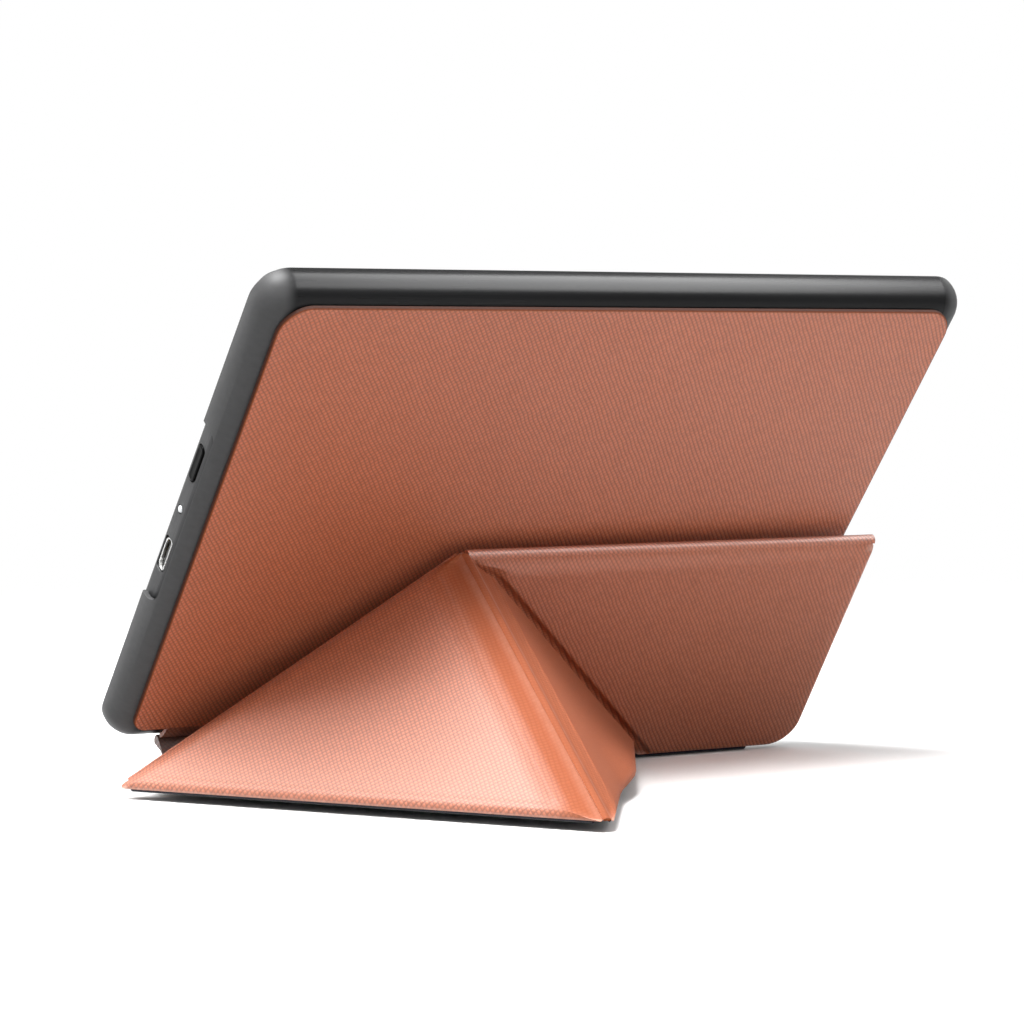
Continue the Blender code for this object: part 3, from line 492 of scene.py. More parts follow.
button_rings = [end_ring(FLANGE, FLANGE_CORNER, x, BUTTON_MIDDLE) for x in (FLANGE_BACK, FLANGE_FRONT)]
button_rings += [end_ring(grown(BUTTON_FACE, -shrink), BUTTON_CORNER - shrink, x, BUTTON_MIDDLE)
                 for shrink, x in bar_section]
button_black = finish("button_black", {"Specular IOR Level": 0.03},
                      mottled((0.002, 0.002, 0.002), (0.003, 0.003, 0.003), 400, 0.35, 5000, 0.00001))
button = piece("power_bar", loft(button_rings), CASE_FRAME, button_black)
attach(button, "button")
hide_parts("power_button")


# Status light: a small clear plug in the end wall, domed a little, with a milky core that carries the light
# of a lamp on the board. It is pressed in from inside behind a flange.
PLUG_FLANGE = (2.6, 2.6)
PLUG_FLANGE_CORNER = 1.29
PLUG_BACK = -81.0
PLUG_RADIUS = 0.75
PLUG_DOME = 0.3
LIGHT_MIDDLE = (LIGHT_AT, PORT_HEIGHT)
light_rings = [end_ring(PLUG_FLANGE, PLUG_FLANGE_CORNER, x, LIGHT_MIDDLE) for x in (PLUG_BACK, FLANGE_FRONT)]
light_rings.append(end_ring((2 * PLUG_RADIUS, 2 * PLUG_RADIUS), 0.74, FLANGE_FRONT, LIGHT_MIDDLE))
for across, up in arc(PLUG_RADIUS, 0, 80, 5):
    light_rings.append(end_ring((2 * across, 2 * across), 0.99 * across,
                                READER_END + 0.1 - PLUG_DOME * up / PLUG_RADIUS, LIGHT_MIDDLE))


def milky_core(paint):
    haze = paint.noise(paint.object_place(), 1800, 2.0)
    return {"Base Color": paint.mix(haze, colour(0.55, 0.57, 0.59), colour(0.75, 0.76, 0.77)),
            "Roughness": 0.15 + 0.1 * haze}


lamp_plug = finish("lamp_plug", {"Emission Color": colour(0.95, 0.97, 1.0), "Emission Strength": 0.12},
                   milky_core)
light = piece("status_plug", loft(light_rings), CASE_FRAME, lamp_plug)
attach(light, "reader_case")
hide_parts("status_light_pipe")


# Case shell: a clip-on tray of glossy black plastic, 171.8 by 119.8 mm, moulded with half-round edges that
# grip the reader just past its widest line. Its bottom end is cut away round the button and the socket.
CASE_SIZE = (171.8, 119.8)
CASE_CORNER = 7.0
CASE_BACK = -1.0
CASE_ROUND = 5.7
CASE_RIM = -7.9
RIM_ROUND = 0.5
WALL = 1.1
INNER_ROUND = 4.6
INNER_BACK = -2.2
CUTOUT = (37.9, 82.3)
LEDGE = -3.4
LEDGE_CORNER = 2.4
CUT_DEPTHS = (-92.0, -80.2)
CUT_EDGE = 0.28
RIM_CHAMFER = 0.2
case_section = [(CASE_ROUND + FLAT_STEP, CASE_BACK)]
case_section += bend(CASE_ROUND, CASE_BACK - CASE_ROUND, CASE_ROUND, 90, 0, 18)
case_section += bend(RIM_ROUND, CASE_RIM + RIM_ROUND, RIM_ROUND, 0, -90, 5)
case_section += [(WALL - RIM_CHAMFER, CASE_RIM), (WALL, CASE_RIM + RIM_CHAMFER)]
case_section += bend(WALL + INNER_ROUND, INNER_BACK - INNER_ROUND, INNER_ROUND, 0, 90)
case_form = loft(ring_stack(case_section, CASE_SIZE, CASE_CORNER))
cut_size = (CUTOUT[1] - CUTOUT[0], 2 * (LEDGE - CASE_RIM + 2))
cut_middle = (sum(CUTOUT) / 2, LEDGE - cut_size[1] / 2)
case_cut = loft([end_ring(cut_size, LEDGE_CORNER, depth, cut_middle) for depth in CUT_DEPTHS])


# Where the painted reflection on the tray's two ends begins and where it is full, as distance from the middle.
END_SHEEN_FROM = 0.0788
END_SHEEN_TO = 0.0818


def glossy_black(paint):
    """Black plastic, with its two ends painted pale grey as a painted reflection of the bright surround."""
    place = paint.object_place()
    flow = paint.noise(place, 14, 3.0)
    fine = paint.noise(place, 2600, 2.0, 0.6)
    scuff = paint.noise(paint.node("Mapping", None, {"Vector": place, "Scale": (40.0, 900.0, 900.0)}), 1.0, 3.0)
    across = paint.maths("ABSOLUTE", paint.node("SeparateXYZ", None, {"Vector": place}))
    # Painted reflection: both ends of the tray are painted pale grey and made rougher.
    end_sheen = paint.ease(across, END_SHEEN_FROM, END_SHEEN_TO)
    moulded = paint.mix(flow, colour(0.004, 0.004, 0.0045), colour(0.007, 0.007, 0.0075))
    painted_sheen = paint.mix(scuff, colour(0.056, 0.056, 0.057), colour(0.074, 0.074, 0.075))
    return {"Base Color": paint.mix(end_sheen, moulded, painted_sheen),
            "Roughness": 0.24 + 0.06 * flow + 0.08 * (scuff - 0.5) * flow + 0.2 * end_sheen,
            "Normal": paint.bump(fine, 0.35, 0.000012)}


case_black = finish("case_black", {"Specular IOR Level": 0.10}, glossy_black)
shell = piece("case_tray", carve(case_form, [case_cut], CUT_EDGE), CASE_FRAME, case_black)
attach(shell, "reader_case")
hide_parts("case_shell")


# Back skin: brown coated leather, 0.9 mm thick, glued to the shell's flat back, 163.8 by 110.6 mm. Its fine
# cross grain runs at a slant to the edges, and a tongue of it goes over the spine edge to the strip there.
SKIN_HALF = 81.9
SKIN_TOP = 115.8
SKIN_FOOT = 5.2
SKIN_CORNER = 6.6
SKIN_FOOT_CORNER = 3.5
SKIN_THICK = 0.9
SKIN_RIM = ((0.9, 0.0), (0.45, 0.0), (0.2, -0.05), (0.06, -0.17), (0.0, -0.35), (0.0, -SKIN_THICK),
            (2.0, -SKIN_THICK))
RIM_TOP = -0.02
LEAST_SKIN_CORNER = 0.3
TONGUE_HALF = 73.6
TONGUE_TUCK = 0.6
TONGUE_GLUE = 0.1
# The whole tongue's leather is painted darker: painted shade.
TONGUE_SHADE = -0.5
GRAIN_TURN = math.radians(37.0)
GRAIN_PITCH = 0.86 * MM
CROSS_PITCH = 0.83 * MM


def cross_grain(paint):
    flat = paint.node("UVMap", {"uv_map": "flat"})
    warp = paint.noise(flat, 260, 2.0)
    drift = paint.noise(flat, 95, 2.0)

    def threads(x, y, pitch, sway):
        return paint.node("VectorMath", {"operation": "DOT_PRODUCT"},
                          {0: flat, 1: (x / pitch, y / pitch, 0.0)}, "Value") + sway

    def round_top(thread):
        slope = 1.0 - paint.maths("PINGPONG", thread, 0.5) * 2.0
        return 1.0 - slope * slope

    cos, sin = math.cos(GRAIN_TURN), math.sin(GRAIN_TURN)
    warp_thread = threads(cos, sin, GRAIN_PITCH, 0.55 * warp + 0.8 * drift)
    weft_thread = threads(-sin, cos, CROSS_PITCH, 0.8 * drift - 0.5 * warp)
    cell = paint.node("TexWhiteNoise", {"noise_dimensions": "2D"}, {"Vector": paint.node("CombineXYZ", None, {
        0: paint.maths("FLOOR", warp_thread), 1: paint.maths("FLOOR", weft_thread)})})
    ridge = round_top(warp_thread)
    rib = round_top(weft_thread)
    along = paint.node("SeparateXYZ", None, {"Vector": flat})
    even = paint.ease(along, -0.045, 0.03, 0.85, 0.45)
    pillow = ridge * (1.0 - even * (1.0 - rib)) * (0.7 + 0.3 * cell)
    fleck = paint.noise(flat, 1900, 2.0, 0.6)
    cloud = paint.noise(flat, 26, 3.0)
    painted_light = paint.node("Attribute", {"attribute_name": "painted_light"}, None, "Fac")
    smooth = paint.node("Attribute", {"attribute_name": "smooth"}, None, "Fac")
    # The grain's grooves are painted far darker than its tops: painted shade in the grooves, on top of the bump.
    low = paint.mix(cloud, colour(0.185, 0.046, 0.0155), colour(0.215, 0.055, 0.0190))
    high = paint.mix(cloud, colour(0.500, 0.128, 0.0470), colour(0.535, 0.141, 0.0540))
    lift = paint.maths("SMOOTH_MIN", pillow * 1.2 + 0.4 * (fleck - 0.35), 1.0, 0.3)
    tone = paint.mix(lift + (0.34 - lift) * smooth, low, high)
    # Painted highlight where the edge attribute is above zero: the leather is painted pale there; where it is below
    # zero, painted dark as painted shade.
    painted_sheen = paint.mix(paint.maths("MAXIMUM", painted_light, 0.0) * (0.75 + 0.25 * cell), tone, colour(0.62, 0.33, 0.25))
    painted_shade = paint.mix(paint.maths("MAXIMUM", 0.0 - painted_light, 0.0), painted_sheen, colour(0.030, 0.010, 0.006))
    return {"Base Color": painted_shade,
            "Roughness": 0.58 - 0.12 * pillow + 0.08 * cloud + 0.3 * smooth,
            "Coat Weight": paint.maths("MAXIMUM", 1.0 - 1.4 * smooth, 0.0),
            "Normal": paint.bump(pillow * (1.0 - 0.6 * painted_light) * (1.0 - 0.8 * smooth), 0.9, 0.00022)}


brown_leather = finish("grained_leather", {"Specular IOR Level": 0.12, "Coat IOR": 1.55, "Coat Roughness": 0.56},
                       cross_grain)


def flatten(mesh, flat_of, painted_light_of, smooth_of=lambda point: 0.0):
    """Store a point's place in the flat sheet, how pale it is painted as painted highlight, or how dark as painted
    shade where below zero, and how pressed smooth.
    """
    sheet = mesh.uv_layers.new(name="flat")
    painted_light = mesh.attributes.new("painted_light", "FLOAT", "POINT")
    smooth = mesh.attributes.new("smooth", "FLOAT", "POINT")
    places = [flat_of(vertex.co) for vertex in mesh.vertices]
    for loop in mesh.loops:
        sheet.data[loop.index].uv = places[loop.vertex_index]
    for vertex in mesh.vertices:
        painted_light.data[vertex.index].value = painted_light_of(vertex.co)
        smooth.data[vertex.index].value = smooth_of(vertex.co)
    return mesh


skin_size = (2 * SKIN_HALF, SKIN_TOP - SKIN_FOOT)
skin_middle = (0.0, (SKIN_TOP + SKIN_FOOT) / 2)
skin_rings = []
for inset, height in SKIN_RIM:
    corners = tuple(max(corner - inset, LEAST_SKIN_CORNER)
                    for corner in (SKIN_CORNER, SKIN_CORNER, SKIN_FOOT_CORNER, SKIN_FOOT_CORNER))
    skin_rings.append(rounded_ring(grown(skin_size, -inset), corners, height, skin_middle))


def skin_edge_shade(point):
    """Painted shade on the cut edge, which fades out over its rounded rim."""
    return -0.95 if point.z < -0.3 else -0.8 if point.z < -0.1 else -0.3 if point.z < RIM_TOP else 0.0


skin_form = flatten(loft(skin_rings), lambda point: (point.x * MM, point.y * MM), skin_edge_shade,
                    lambda point: 1.0 if point.z < RIM_TOP else 0.0)
back_skin = piece("back_leather", skin_form, CASE_FRAME, brown_leather)
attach(back_skin, "reader_case")
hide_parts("back_skin")
wrap_height = CASE_BACK - CASE_ROUND
wrap_in = CASE_ROUND + TONGUE_GLUE
wrap_end = 53.0
tongue_section = [(SKIN_FOOT + TONGUE_TUCK, RIM_TOP), (SKIN_FOOT + TONGUE_TUCK, -SKIN_THICK)]
tongue_section += bend(CASE_ROUND, wrap_height, wrap_in, 88, wrap_end)
tongue_section += bend(CASE_ROUND, wrap_height, wrap_in + SKIN_THICK, wrap_end, 92)
tongue_rings = [[Vector((x, y, z)) for y, z in tongue_section] for x in (-TONGUE_HALF, TONGUE_HALF)]
tongue_form = flatten(loft(tongue_rings), lambda point: (point.x * MM, (point.y + 0.6 * point.z) * MM),
                      lambda point: TONGUE_SHADE)
tongue = piece("back_leather_tongue", tongue_form, CASE_FRAME, brown_leather)
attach(tongue, "reader_case")


# Spine strip: soft leather over dark lining, 147.6 mm long and 11.5 mm between its two folds. It joins the
# case's spine edge to the cover, and rolls at both fold lines.
FOLD_RADIUS = 1.3
SPINE_AT = Vector((0.0, 0.108, -2.008)) * MM
SPINE_TURN = math.radians(105.0)
COVER_TILT = math.radians(4.7)
SPINE_WIDTH = 11.50
SPINE_HALF = 73.8
SPINE_FRAME = CASE_FRAME @ Matrix.Translation(SPINE_AT) @ Matrix.Rotation(SPINE_TURN, 4, "X")


def suede(paint):
    place = paint.object_place()
    nap = paint.noise(place, 2400, 3.0, 0.7)
    brushed = paint.noise(place, 70, 3.0)
    pile = 0.6 * nap + 0.4 * brushed
    return {"Base Color": paint.mix(pile, colour(0.0045, 0.0050, 0.0105), colour(0.014, 0.0155, 0.027)),
            "Roughness": 0.86 + 0.1 * nap, "Normal": paint.bump(nap, 0.5, 0.00006)}


navy_suede = finish("navy_suede", {"Sheen Weight": 0.25, "Sheen Roughness": 0.5, "Specular IOR Level": 0.2}, suede)
LINING_THICK = 0.4
LINING_TUCK = -35
LINING_GLUE = 0.02
END_STEP = 0.25
END_DRAW = 0.02
FLAT_FROM = 2.6
# The whole spine strip's leather is painted darker: painted shade.
SPINE_SHADE = -0.85


def strip_form(section, half, ends):
    """A strip drawn from one end to the other, its ends drawn in a little where they are cut."""
    rings = []
    for x in (-half, -half + END_STEP, half - END_STEP, half):
        shrink = ends if abs(x) == half else 1.0
        draw = 1.0 - END_DRAW + END_DRAW * shrink
        rings.append([Vector((x, SPINE_WIDTH / 2 + (y - SPINE_WIDTH / 2) * draw, z * shrink)) for y, z in section])
    return loft(rings)


def case_roll(radius, start, end, steps=9):
    """The strip's turn at the case, between two angles."""
    return bend(0.0, 0.0, radius, start, end, steps)


def cover_roll(radius, start, end, steps=9):
    """The strip's turn at the cover, which mirrors the one at the case."""
    return [(SPINE_WIDTH - across, up) for across, up in case_roll(radius, start, end, steps)]


inner = FOLD_RADIUS - LINING_THICK
strip_section = case_roll(FOLD_RADIUS, -90, LINING_TUCK, 3) + case_roll(inner, LINING_TUCK, 100)
strip_section += [(FLAT_FROM, -0.66), (SPINE_WIDTH - FLAT_FROM, -0.66)]
strip_section += cover_roll(inner, 100, LINING_TUCK) + cover_roll(FOLD_RADIUS, LINING_TUCK, -90, 3)
spine_form = flatten(strip_form(strip_section, SPINE_HALF, 0.9), lambda point: (point.x * MM, -point.y * MM),
                     lambda point: SPINE_SHADE)
spine = piece("spine_leather", spine_form, SPINE_FRAME, brown_leather)
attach(spine, "spine")
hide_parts("spine_skin")
lining_section = case_roll(FOLD_RADIUS, 0, 90)
lining_section += [(2.4, 0.0), (3.2, -0.2), (SPINE_WIDTH - 3.2, -0.2), (SPINE_WIDTH - 2.4, 0.0)]
lining_section += cover_roll(FOLD_RADIUS, 90, LINING_TUCK) + cover_roll(inner + LINING_GLUE, LINING_TUCK, 100)
lining_section += [(SPINE_WIDTH - FLAT_FROM, -0.64), (FLAT_FROM, -0.64)]
lining_section += case_roll(inner + LINING_GLUE, 100, 0)
spine_back = piece("spine_suede", strip_form(lining_section, SPINE_HALF - 0.3, 1.0), SPINE_FRAME, navy_suede)
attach(spine_back, "spine")
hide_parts("spine_lining")


# Cover panels: four stiff grey boards, each between brown leather and navy lining, that fold as one sheet.
# Pressing the leather down round each board leaves its outline standing, and the free edges are turned and
# painted pale as a painted highlight. The hinge panel hangs on the spine, the flap folds back on it, and the leg and
# brace stand out.
COVER_LENGTH = 171.8
STEM = 57.8
REACH = 64.0
SIDE_FOLD = math.radians(84.7108160501596)
SPINE_CORNER = Vector((0.0, 0.0))
SPINE_END = Vector((COVER_LENGTH, 0.0))
VERTEX = Vector((REACH, STEM))
STEM_END = Vector((COVER_LENGTH, STEM))
FREE_EDGE = 114.4
GROOVE_END = Vector((126.671, FREE_EDGE))
LEG_TIP = Vector((0.0, 115.6))
FREE_OUTER = Vector((COVER_LENGTH, FREE_EDGE))
VERTEX_3D = Vector((REACH, STEM, 0.0))
LEG_AXIS = VERTEX_3D.normalized()
GROOVE_AXIS = Vector((GROOVE_END.x - REACH, GROOVE_END.y - STEM, 0.0)).normalized()


def fold(angle, axis):
    """A turn about a crease through the vertex, in the flat cover's millimetres."""
    return Matrix.Translation(VERTEX_3D * MM) @ Matrix.Rotation(angle, 4, axis) @ Matrix.Translation(-VERTEX_3D * MM)


HINGE_FRAME = (SPINE_FRAME @ Matrix.Translation((-COVER_LENGTH / 2 * MM, SPINE_WIDTH * MM, 0.0))
               @ Matrix.Rotation(-SPINE_TURN - COVER_TILT, 4, "X"))
FLAP_FRAME = HINGE_FRAME @ fold(math.pi, Vector((1, 0, 0)))
LEG_FRAME = HINGE_FRAME @ fold(SIDE_FOLD, LEG_AXIS)
BRACE_FRAME = FLAP_FRAME @ fold(-SIDE_FOLD, GROOVE_AXIS)

HEM = [(3.4, -2.6), (2.9, -2.6), (2.5, -2.53), (2.1, -2.5), (1.5, -2.52), (1.0, -2.4), (0.6, -2.15), (0.3, -1.85),
       (0.08, -1.6), (0.0, -1.42), (0.08, -1.33), (0.3, -1.28), (0.9, -1.25), (1.2, -0.66)]
BOWED = [(13.0, -2.6), (9.0, -2.6), (5.5, -2.6), (3.2, -2.58), (2.1, -2.5), (1.2, -2.42), *HEM[6:]]
OPEN_EDGES = ("free", "bowed")
HEM_WIDE = 1.6
BOW = 3.0
BOW_PEAK = 0.5
BOW_END = 0.66
BOW_FALL = 0.09
SMOOTH_FROM = 10.0
SMOOTH_OVER = 8.5
SMOOTH_MOST = 0.85
NO_RIDGE = 9.0


def pressed(edge):
    """Leather pressed down beside a crease, out to an edge that stops short of the crease line."""
    return [(4.6, -2.6), (4.1, -2.6), (3.8, -2.53), (3.55, -2.34), (3.35, -2.05), (3.1, -1.65), (2.8, -1.4),
            (2.4, -1.3), (edge + 0.3, -1.3), (edge + 0.08, -1.25), (edge, -1.1), (edge, -0.9), (edge + 0.1, -0.72),
            (edge + 0.6, -0.66)]


RIDGE = [(6.9, -2.6), (6.4, -2.6), (6.1, -2.53), (5.8, -2.34), (5.4, -2.16), (3.9, -2.02), (3.0, -1.6), (2.1, -1.36),
         (0.6, -1.3), (0.06, -1.3), (0.03, -1.24), (0.03, -0.9), (0.2, -0.7), (0.8, -0.66)]
ROLLED = [(4.8, -2.6), (4.3, -2.6), (3.9, -2.57), (3.5, -2.5), (3.1, -2.39), (2.7, -2.24), (2.3, -2.05), (1.9, -1.84),
          (1.4, -1.6), (0.9, -1.42), (0.4, -1.31), (0.0, -1.28), (0.1, -0.72), (0.6, -0.66)]
VALLEY = pressed(0.7)
SPINE_SIDE = pressed(1.4)
EASED = [(4.7, -2.6), (4.2, -2.6), (3.8, -2.58), (3.4, -2.54), (3.0, -2.48), (2.5, -2.36), (2.0, -2.2), (1.5, -2.0),
         (1.0, -1.75), (0.5, -1.48), (0.1, -1.3), (0.0, -1.1), (0.1, -0.72), (0.6, -0.66)]
LINING_HEM = [(0.7, -1.22), (0.2, -1.22), (0.09, -1.1), (0.06, -0.8), (0.1, -0.45), (0.28, -0.27), (0.7, -0.2),
              (1.4, -0.2)]
LINING_CREASE = [(2.3, -0.64), (1.75, -0.63), (1.66, -0.58), (1.6, -0.48), (1.63, -0.35), (1.8, -0.24), (2.2, -0.2),
                 (3.0, -0.2)]
EDGE_SECTIONS = {"free": HEM, "rolled": ROLLED, "valley": VALLEY, "spine": SPINE_SIDE, "ridge": RIDGE,
                 "eased": EASED, "bowed": BOWED}
INNER_RINGS = (5.0, 3.0, 1.5)
EDGE_STOPS = [0.02] + [step / 20 for step in range(1, 20)] + [0.98]


def outline_ring(corners, insets, heights, round_off):
    """One closed ring of a panel: each edge moved in by its own inset, with each corner rounded off."""
    count = len(corners)
    centre = sum(corners, Vector((0.0, 0.0))) / count
    lines = []
    for index, start in enumerate(corners):
        along = (corners[(index + 1) % count] - start).normalized()
        inward = Vector((-along.y, along.x))
        if inward.dot(centre - start) < 0:
            inward = -inward
        lines.append((start + inward * insets[index], along))
    moved = []
    for index in range(count):
        point, along = lines[index - 1]
        other, across = lines[index]
        moved.append(point + along * ((other - point).cross(across) / along.cross(across)))
    arcs = []
    for index, corner in enumerate(moved):
        before = (moved[index - 1] - corner).normalized()
        after = (moved[(index + 1) % count] - corner).normalized()
        half = before.angle(after) / 2
        radius = max(round_off[index], 0.05)
        middle = corner + (before + after).normalized() * radius / math.sin(half)
        start = corner + before * radius / math.tan(half) - middle
        end = corner + after * radius / math.tan(half) - middle
        sweep = start.angle_signed(end)
        arcs.append([])
        for step in range(ARC_STEPS + 1):
            share = step / ARC_STEPS
            place = middle + Matrix.Rotation(-sweep * share, 2) @ start
            height = heights[index - 1] + (heights[index] - heights[index - 1]) * share
            arcs[-1].append(Vector((place.x, place.y, height)))
    ring = []
    for index, points in enumerate(arcs):
        following = arcs[(index + 1) % count][0]
        ring += points + [points[-1].lerp(following, share) for share in EDGE_STOPS]
    return ring


def panel_form(corners, profiles, radii, inner_round):
    """Loft a panel through its rings, each edge following its own section, from a few rings on its flat middle."""
    profiles = [[(profile[0][0] + more, profile[0][1]) for more in INNER_RINGS] + profile for profile in profiles]
    rings = []
    for step in range(len(profiles[0])):
        insets = [profile[step][0] for profile in profiles]
        heights = [profile[step][1] for profile in profiles]
        rounds = []
        for index, radius in enumerate(radii):
            near = min(insets[index - 1], insets[index])
            rounds.append(max(radius - max(near, 0.0), inner_round * min(1.0, max(near, 0.0) / 2.5), 0.25))
        rings.append(outline_ring(corners, insets, heights, rounds))
    return loft(rings)


def edge_distance(point, start, end):
    along = (end - start).normalized()
    return abs(along.cross(Vector((point.x, point.y)) - start))


def cover_flat(point):
    """A point's place in the cover's one flat sheet, from the middle of its spine side."""
    return ((point.x - COVER_LENGTH / 2) * MM, -point.y * MM)


def cover_panel(name, place, corners, edges, radii, smoothed=0.0, leather_corners=None):
    """Leather and lining of one panel, over the board that the frame already holds."""
    outline = leather_corners or corners
    sides = [(outline[index], outline[(index + 1) % len(outline)], edge) for index, edge in enumerate(edges)]

    def hem_highlight(point):
        """Turned edges are painted pale, a painted highlight, and the ridge a little."""
        painted_light = 0.0
        for start, end, edge in sides:
            near = edge_distance(point, start, end)
            if edge in OPEN_EDGES and near < HEM_WIDE and point.z < -0.7:
                turned = point.z > -1.75 and near < 0.5
                painted_light = max(painted_light, 0.8 if turned else 0.25 * (1.0 - near / HEM_WIDE))
            if edge == "ridge" and near < 1.2 and point.z > -1.35:
                painted_light = max(painted_light, 0.2)
        return painted_light

    def press_smooth(point):
        """The grain is pressed out beside a ridge, and a little on a panel without one."""
        near = min([edge_distance(point, start, end) for start, end, edge in sides if edge == "ridge"],
                   default=NO_RIDGE)
        return max(smoothed, max(0.0, min(SMOOTH_MOST, (SMOOTH_FROM - near) / SMOOTH_OVER)))

    def bow(mesh, reach):
        """Push a stretch of a bowed edge out, as use has bent it, so that it dies away over a reach."""
        for start, end, edge in sides:
            if edge == "bowed":
                run = end - start
                for vertex in mesh.vertices:
                    share = (vertex.co.xy - start).dot(run) / run.length_squared
                    rise = min(max(share / BOW_PEAK, 0.0), 1.0) * min(max((BOW_END - share) / BOW_FALL, 0.0), 1.0)
                    inward = min(edge_distance(vertex.co, start, end) / reach, 1.0)
                    vertex.co.z -= BOW * rise * (1.0 - inward) ** 1.6

    leather = panel_form(outline, [EDGE_SECTIONS[edge] for edge in edges], radii, 1.0)
    bow(leather, 12.0)
    flatten(leather, cover_flat, hem_highlight, press_smooth)
    skin = piece(name + "_leather", leather, place, brown_leather, 50)
    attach(skin, name)
    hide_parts(name + "_skin")
    lining_sections = [LINING_HEM if edge in OPEN_EDGES else LINING_CREASE for edge in edges]
    lining_form = panel_form(corners, lining_sections, radii, 0.6)
    bow(lining_form, 1.3)
    lining = piece(name + "_suede", lining_form, place, navy_suede, 50)
    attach(lining, name)
    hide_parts(name + "_lining")
    cut = abs(sum(corner.cross(corners[index - 1]) for index, corner in enumerate(corners))) / 2
    cut * MM * MM


FLAP_DROP = 0.8
flap_foot = GROOVE_END + GROOVE_AXIS.xy * (FLAP_DROP / GROOVE_AXIS.y)
cover_panel("hinge_panel", HINGE_FRAME, [SPINE_CORNER, SPINE_END, STEM_END, VERTEX],
            ["spine", "free", "rolled", "eased"], [3.0, 2.5, 0.4, 0.4])
cover_panel("flap_panel", FLAP_FRAME, [VERTEX, STEM_END, FREE_OUTER, GROOVE_END],
            ["rolled", "free", "free", "valley"], [0.4, 0.4, 7.5, 0.4],
            leather_corners=[VERTEX, STEM_END, FREE_OUTER + Vector((0.0, FLAP_DROP)), flap_foot])
cover_panel("leg_panel", LEG_FRAME, [SPINE_CORNER, VERTEX, LEG_TIP],
            ["eased", "ridge", "free"], [0.9, 0.4, 0.4])
cover_panel("brace_panel", BRACE_FRAME, [VERTEX, GROOVE_END, LEG_TIP],
            ["valley", "bowed", "ridge"], [0.4, 0.4, 0.4], 0.7)
grey_board = finish("pressed_board", {"Specular IOR Level": 0.2},
                    mottled((0.26, 0.25, 0.235), (0.36, 0.35, 0.33), 220, 0.85, 1500, 0.00005))
coat_node(grey_board, *[name + "_panel_board" for name in ("hinge", "flap", "leg", "brace")])
nickel = finish("nickel_plate", {"Metallic": 1.0},
                mottled((0.60, 0.59, 0.57), (0.72, 0.71, 0.69), 150, 0.24, 3500, 0.00001))
coat_node(nickel, "wake_magnet", "closing_magnet")


# Fold rolls: the leather goes round each outward crease of the cover in one turn of 1.3 mm: the stem between
# the hinge panel and the flap, the slanting crease beside the leg, and the ridge between the leg and brace.
ROLL_STEPS = 16
RUN_STEPS = 40
ROLL_THICK = 0.6
ROLL_END = 0.8
LEG_ROLL_FROM = 3.2


def fold_roll(name, place, start, end, sweep, smoothed=0.0):
    """A rolled strip from one panel's leather to the next one's, with the points where its turn starts and ends."""
    axis = (end - start).normalized()
    out = Vector((0, 0, -1))
    onward = Vector((-axis.y, axis.x, 0))
    rays = [Matrix.Rotation(sweep * step / ROLL_STEPS, 3, axis) @ out for step in range(ROLL_STEPS + 1)]
    section = [ray * FOLD_RADIUS for ray in rays] + [ray * (FOLD_RADIUS - ROLL_THICK) for ray in reversed(rays)]
    rings = [[start + (end - start) * step / RUN_STEPS + point for point in section] for step in range(RUN_STEPS + 1)]

    def roll_flat(point):
        """The grain runs on round the roll: a point's turn about the crease is a way across the flat sheet."""
        along = (point - start).dot(axis)
        ray = point - start - axis * along
        turn = math.atan2(ray.dot(onward), ray.dot(out))
        turn += math.tau if turn < -0.01 else 0.0
        return cover_flat(start + axis * along + onward * FOLD_RADIUS * (turn - sweep / 2))

    form = flatten(loft(rings), roll_flat, lambda point: 0.0, lambda point: smoothed)
    roll = piece(name, form, place, brown_leather, 60)
    return roll, place @ ((start + section[0]) * MM), place @ ((start + section[ROLL_STEPS]) * MM)


stem_roll, turn_start, turn_end = fold_roll("stem_roll", HINGE_FRAME, VERTEX_3D + Vector((ROLL_END, 0.0, 0.0)),
                                            Vector((COVER_LENGTH, STEM, 0.0)), math.pi)
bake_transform(stem_roll)
leg_roll, turn_start, turn_end = fold_roll("leg_roll", HINGE_FRAME, LEG_ROLL_FROM * LEG_AXIS,
                                           VERTEX_3D - ROLL_END * LEG_AXIS, SIDE_FOLD)
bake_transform(leg_roll)
RIDGE_FOOT = Vector((LEG_TIP.x, LEG_TIP.y, 0.0))
RIDGE_AXIS = (VERTEX_3D - RIDGE_FOOT).normalized()
ridge_roll = fold_roll("ridge_roll", LEG_FRAME, RIDGE_FOOT + ROLL_END * RIDGE_AXIS,
                       VERTEX_3D - ROLL_END * RIDGE_AXIS, SIDE_FOLD, SMOOTH_MOST)[0]
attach(ridge_roll, "leg_panel")
LEG_FRAME.to_3x3() @ Vector((-RIDGE_AXIS.y, RIDGE_AXIS.x, 0.0))
LEG_FRAME @ (RIDGE_FOOT * MM)
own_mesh(ridge_roll)


# Groove: between the flap and the brace the leather is pressed down to the lining in a narrow V, the cover's
# one inward crease.
GROOVE_SECTION = ((1.5, 1.05), (0.9, 0.85), (0.45, 0.58), (0.0, 0.42))
GROOVE_LEATHER = 0.22
GROOVE_ENDS = (2.0, 1.0)
